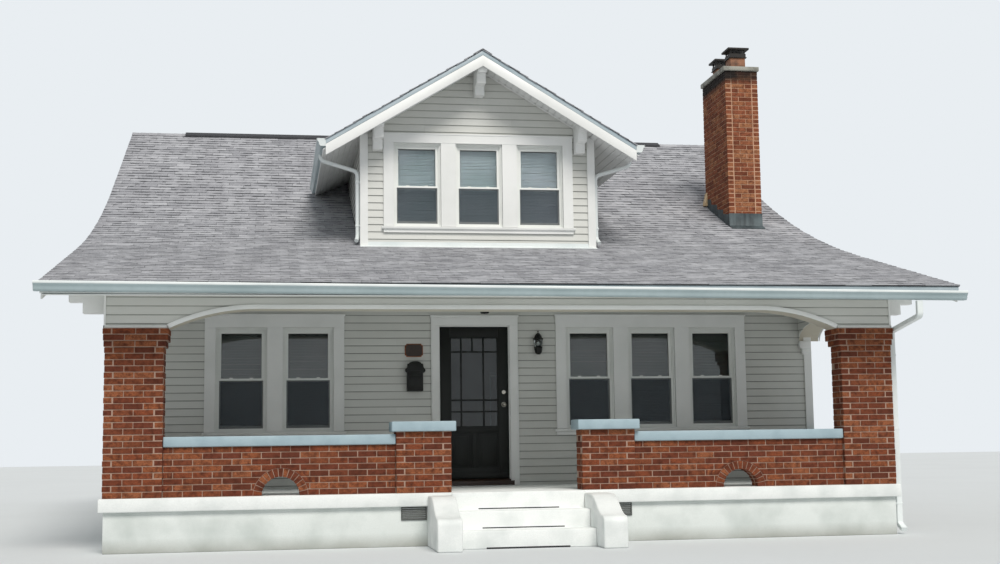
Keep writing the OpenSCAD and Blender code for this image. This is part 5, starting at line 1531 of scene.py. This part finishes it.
def stepped(x, thick, start, end, step, rise, lift):
    """Flashing on a side wall: its foot follows the roof, and its top climbs in steps."""
    bends = [start] + [y for y, _ in top_line if start < y < end] + [end]
    head, y = [], start
    while y < end - 0.01:
        after, level = min(y + step, end), along(top_line, y) + rise
        head += [(y, level - lift / 4), (after, level + lift)]
        y = after
    return pushed([(y, along(top_line, y) - 0.01) for y in bends] + list(reversed(head)), 0, x, x + thick)


lead = [stepped(x, thick, y0 - 0.002, y1, 0.29, 0.20, 0.04) for x, thick in ((x0, -lead_t), (x1, lead_t))]
lead.append(pushed(apron(y0, 0, 0.205, 0.012, 0.130, 0.006), 0, x0 - lead_t, x1 + lead_t))
hand_in(soften(solid("lead_flashing", (sheet_lead, lead)), 0.001), "dark_metal")
sheet = pushed(apron(dormer_face, 0.004, 0.055, 0.004, 0.085, 0.005), 0, -wall_x - 0.02, wall_x + 0.02)
hand_in(soften(solid("dormer_flashing", (white_enamel, [sheet])), 0.001), "white_metal")
patch_z = along(top_line, y1) - 0.02
lump = [(0.004, 0.0), (-0.055, 0.010), (-0.046, 0.075), (-0.022, 0.150), (-0.014, 0.215), (0.004, 0.225)]
lump = pushed([(x0 + x, patch_z + z) for x, z in lump], 1, y1 - 0.10, y1 + 0.012)
hand_in(soften(solid("mortar_patch", (patch_mortar, [lump])), 0.012, 3), "brick")
scrap(roof_body)

# %% [markdown]
# The gutters are bent from sheet aluminium in the common ogee shape: a flat floor, a double curve up the
# front and a rolled lip. The profile is pushed along the eave and then tilted, because water has to run
# to the downspout. The hangers that hold it repeat every 0.6 m.

# %% Gutters
gutter_w, gutter_h, sheet_t = 0.120, 0.105, 0.003
gutter_back = 0.002  # how far a gutter's back lies behind its node's
hanger_gap = 0.6
gutter_line = [(0.0, 0.0), (0.0, -gutter_h), (0.072, -gutter_h), (0.082, -0.096), (0.090, -0.080),
               (0.094, -0.062), (0.104, -0.046), (0.114, -0.036), (0.117, -0.022), (gutter_w, -0.014),
               (gutter_w, 0.0)]
gutter_in = [(0.112, 0.0), (0.112, -0.006), (0.116, -0.012), (0.113, -0.024), (0.110, -0.034),
             (0.100, -0.044), (0.091, -0.060), (0.087, -0.079), (0.079, -0.094),
             (0.070, -gutter_h + sheet_t), (sheet_t, -gutter_h + sheet_t), (sheet_t, 0.0)]
gutter_lip = [(0.1125, -0.025), (0.1195, -0.027), (0.1220, -0.022), (0.1220, -0.003), (0.1195, 0.002),
              (0.1125, 0.002)]
hanger = solid("gutter_hanger", (white_enamel, [
    block((-0.012, -0.002, -0.010), (0.012, 0.116, -0.007)),
    block((-0.012, -0.003, -0.040), (0.012, 0.0015, -0.006)),
    block((-0.005, -0.007, -0.034), (0.005, -0.003, -0.024))]))


def gutter(side, box, fall=0.0):
    """A gutter along an eave, its trough first, and the places of its hangers."""
    (start, end), (back, _) = seen_from(side, box)
    out, right = facings[side], up.cross(facings[side])
    origin = out * (back - gutter_back)

    def top_at(u):
        return box[1].z - fall * (u - start) / (end - start)

    shapes = [pushed(gutter_line + gutter_in, 0, start, end), pushed(gutter_line, 0, start, start + 0.004),
              pushed(gutter_line, 0, end - 0.004, end), pushed(gutter_lip, 0, start, end)]
    shapes = [([(u, d, v + top_at(u)) for u, d, v in corners], faces) for corners, faces in shapes]
    count = round((end - start) / hanger_gap)
    spots = [start + (end - start) * (k + 0.5) / count for k in range(count)]
    angle = math.atan2(right.y, right.x) + math.pi
    return placed(shapes, origin, out), [(origin + right * u + up * top_at(u), angle, whole) for u in spots]


gutter_boxes = islands("gutters")
front_box = min(gutter_boxes, key=lambda box: box[0].y)
rear_box = max(gutter_boxes, key=lambda box: box[1].y)
runs = [gutter("front", front_box, front_box[1].z - front_box[0].z - gutter_h), gutter("rear", rear_box)]
runs += [gutter("right" if box[1].x > 0 else "left", box)
         for box in gutter_boxes if box not in (front_box, rear_box)]
troughs = [shapes[0] for shapes, _ in runs]
trims = [shape for shapes, _ in runs for shape in shapes[1:]]
# The troughs carry the painted shade; the lip and the end caps stay white.
gutters = solid("ogee_gutters", (shaded_gutter_enamel, troughs), (white_enamel, trims))
hand_in(soften(gutters, 0.0012, 1, 30), "white_metal", "gutters")
places = [place for _, places in runs for place in places]
hand_in(lay("gutter_hangers", hanger, places, white_enamel, 81), "white_metal")
scrap(hanger)

# %% [markdown]
# A downspout is a path with a section drawn along it. The tree turns a line of corners into a curve,
# rounds the corners into elbows with Fillet Curve, and sweeps the section. The big spouts are
# rectangular and the dormer's thin ones are round, which is one number in the same tree.

# %% Downspouts
sweep, given = new_tree("swept_spout", Elbow="Float", Wide="Float", Deep="Float", Corner="Float",
                        Finish="Material")
route = add(sweep, "GeometryNodeMeshToCurve", {"Mesh": given["Geometry"]})
section = add(sweep, "GeometryNodeCurvePrimitiveQuadrilateral", {
    "Width": given["Wide"], "Height": given["Deep"]})
bent, rounded = [
    add(sweep, "GeometryNodeFilletCurve", {
        "Curve": curve, "Radius": given[radius], "Count": count, "Limit Radius": True},
        mode="POLY")
    for curve, radius, count in ((route, "Elbow", 8), (section, "Corner", 4))]
tube = add(sweep, "GeometryNodeCurveToMesh", {"Curve": bent, "Profile Curve": rounded, "Fill Caps": True})
end_tree(sweep, tube, given["Finish"])


def spout(name, path, wide, deep, corner, elbow):
    """A pipe along a path of corners."""
    made = run_tree(name, path, sweep, Elbow=elbow, Wide=wide, Deep=deep, Corner=corner, Finish=white_enamel)
    turn_outwards(made.data, merge_dist)
    hand_in(smooth(made, 30), "white_metal", "downspouts")


spout_boxes = islands("downspouts")
front_spout = min(spout_boxes, key=lambda box: box[0].y)
rear_spout = max(spout_boxes, key=lambda box: box[1].y)
pier_side, rear_side = 0.130 + face_y, rear_y + 0.0275
for name, box, top_y, top_z, high_z, low_z, wall_y, kick, elbow in (
        ("front", front_spout, front_box[1].y - 0.050, -0.02, 2.580, 2.455, pier_side, -0.120, 0.05),
        ("rear", rear_spout, rear_box[0].y + 0.050, 0.01, 3.119, 2.839, rear_side, 0.120, 0.07)):
    path = [(top_y, box[1].z + top_z), (top_y, high_z), (wall_y, low_z), (wall_y, 0.120),
            (wall_y + kick, 0.055)]
    middle = (box[0].x + box[1].x) / 2
    spout(name + "_downspout", [(middle, y, z) for y, z in path], 0.075, 0.055, 0.012, elbow)
strap_h = 0.022
straps = []
y = (spout_boxes[0][0].y + spout_boxes[0][1].y) / 2
foot = along(top_line, y) + 0.055
for sign, label in two_sides:
    pipe_x = sign * (wall_x + 0.048)
    path = [(sign * 2.170, y, 5.096), (sign * 2.170, y, 5.010), (pipe_x, y, 4.860), (pipe_x, y, foot + 0.05),
            (pipe_x + sign * 0.02, y - 0.09, foot - 0.018)]
    spout("dormer_downspout_" + label, path, 0.055, 0.055, 0.027, 0.08)
    straps += [block((sign * wall_x, y - 0.030, z), (pipe_x + sign * 0.030, y + 0.030, z + strap_h))
               for z in (4.70, 4.10)]
for z in (2.15, 1.25, 0.35):
    straps += [block((porch_x, pier_side - 0.030, z),
                     (front_spout[1].x + 0.002, pier_side + 0.030, z + strap_h)),
               block((rear_spout[0].x - 0.002, rear_y - 0.002, z),
                     (rear_spout[1].x + 0.002, rear_side + 0.030, z + strap_h))]
hand_in(soften(solid("spout_straps", (white_enamel, straps)), 0.002), "white_metal")

# %% [markdown]
# The small fittings are what a visitor sees from close by. The lamps are turned profiles with six sides,
# with thin bars over a glass. The mailbox and the plaque are outlines pushed from the wall. The plaque
# stays bare.

# %% The wall lantern
def bar_between(foot, head, half):
    """A square bar between two points."""
    ahead = (head - foot).normalized()
    side = ahead.cross(Vector((0.31, 0.95, 0.05))).normalized() * half
    other = ahead.cross(side).normalized() * half
    corners = [tuple(point + side * a + other * b) for point in (foot, head)
               for a, b in ((-1, -1), (1, -1), (1, 1), (-1, 1))]
    return corners, [(0, 1, 2, 3), (7, 6, 5, 4), (0, 4, 5, 1), (1, 5, 6, 2), (2, 6, 7, 3), (3, 7, 4, 0)]


def six_points(centre, radius, height, start):
    """The corners of a hexagon at a height above a lamp's foot."""
    return [centre + Vector((radius * math.cos(a), radius * math.sin(a), height))
            for a in (start + math.pi / 3 * k for k in range(6))]


def cage(centre, low, high, half, start):
    """Six bars round a lamp's glass, between two (radius, height) pairs."""
    return [bar_between(foot, head, half)
            for foot, head in zip(six_points(centre, *low, start), six_points(centre, *high, start))]


def lamp(name, slot, node, metal, glass, bulb):
    """A lamp of enamelled metal, glass and a bulb, in place of a node."""
    made = solid(name, (black_enamel, metal), (window_glass, [glass]), (window_vinyl, [bulb]))
    hand_in(soften(made, 0.0008), slot, node)


low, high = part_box("wall_lantern")
centre = (low + high) / 2 - Vector((0, 0.004, 0))
centre.z = low.z
bell_roof = [(0, 0.203), (0.064, 0.203), (0.070, 0.207), (0.069, 0.213), (0.056, 0.219), (0.051, 0.236),
             (0.043, 0.256), (0.030, 0.274), (0.014, 0.286), (0.0085, 0.290), (0.005, 0.294),
             (0.0085, 0.303), (0.007, 0.312), (0.002, 0.320), (0, 0.320)]
cup = [(0, 0.0), (0.018, 0.001), (0.034, 0.010), (0.046, 0.030), (0.053, 0.058), (0.057, 0.090),
       (0.055, 0.098), (0, 0.098)]
socket = [(0, 0.098), (0.009, 0.098), (0.009, 0.126), (0, 0.126)]
arm = block((centre.x - 0.008, 0.008, low.z + 0.088), (centre.x + 0.008, 0.060, low.z + 0.104))
plate = pushed(arc((centre.x, low.z + 0.145), (0.030, 0.075), 0, 345, 23), 1, 0, 0.010)
metal = [turned(bell_roof, centre, 6), turned(cup, centre, 6), turned(socket, centre, 12)]
metal += cage(centre, (0.052, 0.096), (0.063, 0.205), 0.0028, 0.0)
metal += on_front([plate, arm])
glass = [(0, 0.0985), (0.047, 0.0985), (0.058, 0.2025), (0, 0.2025)]
bulb = [(0, 0.124), (0.010, 0.126), (0.016, 0.138), (0.017, 0.151), (0.010, 0.168), (0, 0.174)]
lamp("lantern", "black_metal", "wall_lantern", metal, turned(glass, centre, 6), turned(bulb, centre, 12))

# %% The porch light
low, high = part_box("porch_light")
centre = (low + high) / 2
centre.z = low.z
start = math.pi / 6
tall = high.z - low.z
crown = [(0, tall - 0.020), (0.088, tall - 0.020), (0.101, tall - 0.014), (0.101, tall - 0.008),
         (0.080, tall), (0, tall)]
dish = [(0, 0.0), (0.008, 0.001), (0.010, 0.005), (0.052, 0.005), (0.057, 0.009), (0.057, 0.016),
        (0.052, 0.018), (0, 0.018)]
metal = [turned(crown, centre, 6, start), turned(dish, centre, 6, start)]
metal += cage(centre, (0.054, 0.014), (0.089, tall - 0.018), 0.0035, start)
for part in (0.35, 0.65):
    ring = six_points(centre, 0.054 + 0.035 * part, 0.014 + (tall - 0.032) * part, start)
    metal += [bar_between(ring[k - 1], ring[k], 0.0015) for k in range(6)]
glass = [(0, 0.0185), (0.050, 0.0185), (0.084, tall - 0.0205), (0, tall - 0.0205)]
bulb = [(0, 0.045), (0.014, 0.048), (0.022, 0.064), (0.020, 0.084), (0.012, 0.104), (0.012, tall - 0.021),
        (0, tall - 0.021)]
lamp("ceiling_lantern", "dark_metal", "porch_light", metal, turned(glass, centre, 6, start),
     turned(bulb, centre, 12))

# %% The mailbox
low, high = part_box("mailbox")
tall, half, deep = high.z - low.z, (high.x - low.x) / 2, high.y - low.y
crown = arc((0, tall - 0.030), (half * 0.60, 0.030), 0, 180, 10)
scroll = [(0.100, 0.235), (0.112, 0.240), (0.128, 0.252), (half, 0.270), (0.131, 0.288), (0.119, 0.297),
          (0.110, 0.310), (0.106, 0.330), (0.104, 0.352), (0.096, 0.360), (0.084, 0.360)]
lid = scroll + crown + [(-u, v) for u, v in reversed(scroll)]
field = [(u * 0.86, 0.250 + (v - 0.250) * 0.86) for u, v in lid]
body = [(0.100, 0.0), (0.104, 0.010), (0.104, 0.300), (0.095, 0.345)]
body += [(-u, v) for u, v in reversed(body)]
shapes = [pushed(body, 1, 0.001, deep - 0.018), pushed(lid, 1, deep - 0.022, deep - 0.009),
          pushed(field, 1, deep - 0.010, deep - 0.004),
          block((-0.085, deep - 0.019, 0.028), (0.085, deep - 0.014, 0.205)),
          block((-0.055, deep - 0.004, 0.262), (0.055, deep + 0.002, 0.272))]
shapes = on_front(shapes, (low.x + high.x) / 2, low.z)
mailbox = solid("mail_box", (black_enamel, shapes))
hand_in(soften(mailbox, 0.003, 2), "black_metal", "mailbox")

# %% The plaque
low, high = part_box("number_plaque")
wide, tall = (high.x - low.x) / 2, (high.z - low.z) / 2
notch = 0.022


def scooped(wide, tall):
    """An oblong whose corners are scooped out."""
    outline = []
    for sx, sy, first in ((1, -1, 90), (1, 1, 180), (-1, 1, 270), (-1, -1, 0)):
        outline += arc((sx * wide, sy * tall), (notch, notch), first + 90, first, 5)
    return sorted(outline, key=lambda point: math.atan2(point[1], point[0]))


middle = (low + high) / 2
plaque = solid("plain_plaque", *[
    (finish, on_front([pushed(scooped(wide - inset, tall - inset), 1, back, front)], middle.x, middle.z))
    for finish, inset, back, front in ((copper, 0, 0, 0.011), (brown_lacquer, 0.009, 0.010, 0.0125))])
hand_in(soften(plaque, 0.0015), "black_metal", "number_plaque")

# %% The frame's own pieces
kept_nodes = {"window_glass": window_glass, "door_glass": door_pane_painted_shade, "door_knob": brushed_nickel,
              "attic_floor": oak, "ridge_vent": shingle_dark}
for node, material in kept_nodes.items():
    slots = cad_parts[node].data.materials
    for i in range(len(slots)):
        slots[i] = material
print("frame pieces with a finish:", len(kept_nodes))

# %% [markdown]
# The studio is plain: a pale floor, an even pale sky and one large soft lamp high in front. The sky
# lights the house at less than full strength, so that with the lamp a white board comes out just under
# white.

# %% Floor and light
scene = bpy.context.scene
scene.view_settings.view_transform = "Standard"
floor_paint = weathered("studio_floor_paint", "#d4d8d9", "#d1d5d6", 4000, 400, 0.9, 0.0)
solid("studio_floor", (floor_paint, [block((-60, -60, -0.02), (60, 60, 0))]))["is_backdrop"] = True

scene.world = bpy.data.worlds.new("studio_sky")
scene.world.use_nodes = True
sky = scene.world.node_tree
sky.nodes.clear()
rays = add(sky, "ShaderNodeLightPath")
seen = rays.outputs["Is Camera Ray"]
for ray in ("Is Glossy Ray", "Is Transmission Ray"):
    seen = add(sky, "ShaderNodeMath", {0: seen, 1: rays.outputs[ray]}, operation="MAXIMUM").outputs[0]
light_sky = add(sky, "ShaderNodeBackground", {
    "Color": linear("#e9eef2"), "Strength": spread(sky, seen, 0.0, 1.0, 0.50, 1.0)})
add(sky, "ShaderNodeOutputWorld", {"Surface": light_sky})

key = bpy.data.objects.new("key_lamp", bpy.data.lights.new("key_lamp", "SUN"))
scene.collection.objects.link(key)
key.data.energy = 2.5
key.data.angle = math.radians(25)
key.data.color = linear("#fffaf4")[:3]
key.rotation_euler = Euler((math.radians(41), 0, math.radians(7)))
print("studio: floor, sky and one lamp")

# %% The last helpers removed, and the boxes measured
scrap(brick_piece, tab)
visual_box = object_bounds()
sizes = {"cad": [list(corner) for corner in cad_box], "visual": [list(corner) for corner in visual_box]}
print("boxes:", sizes)
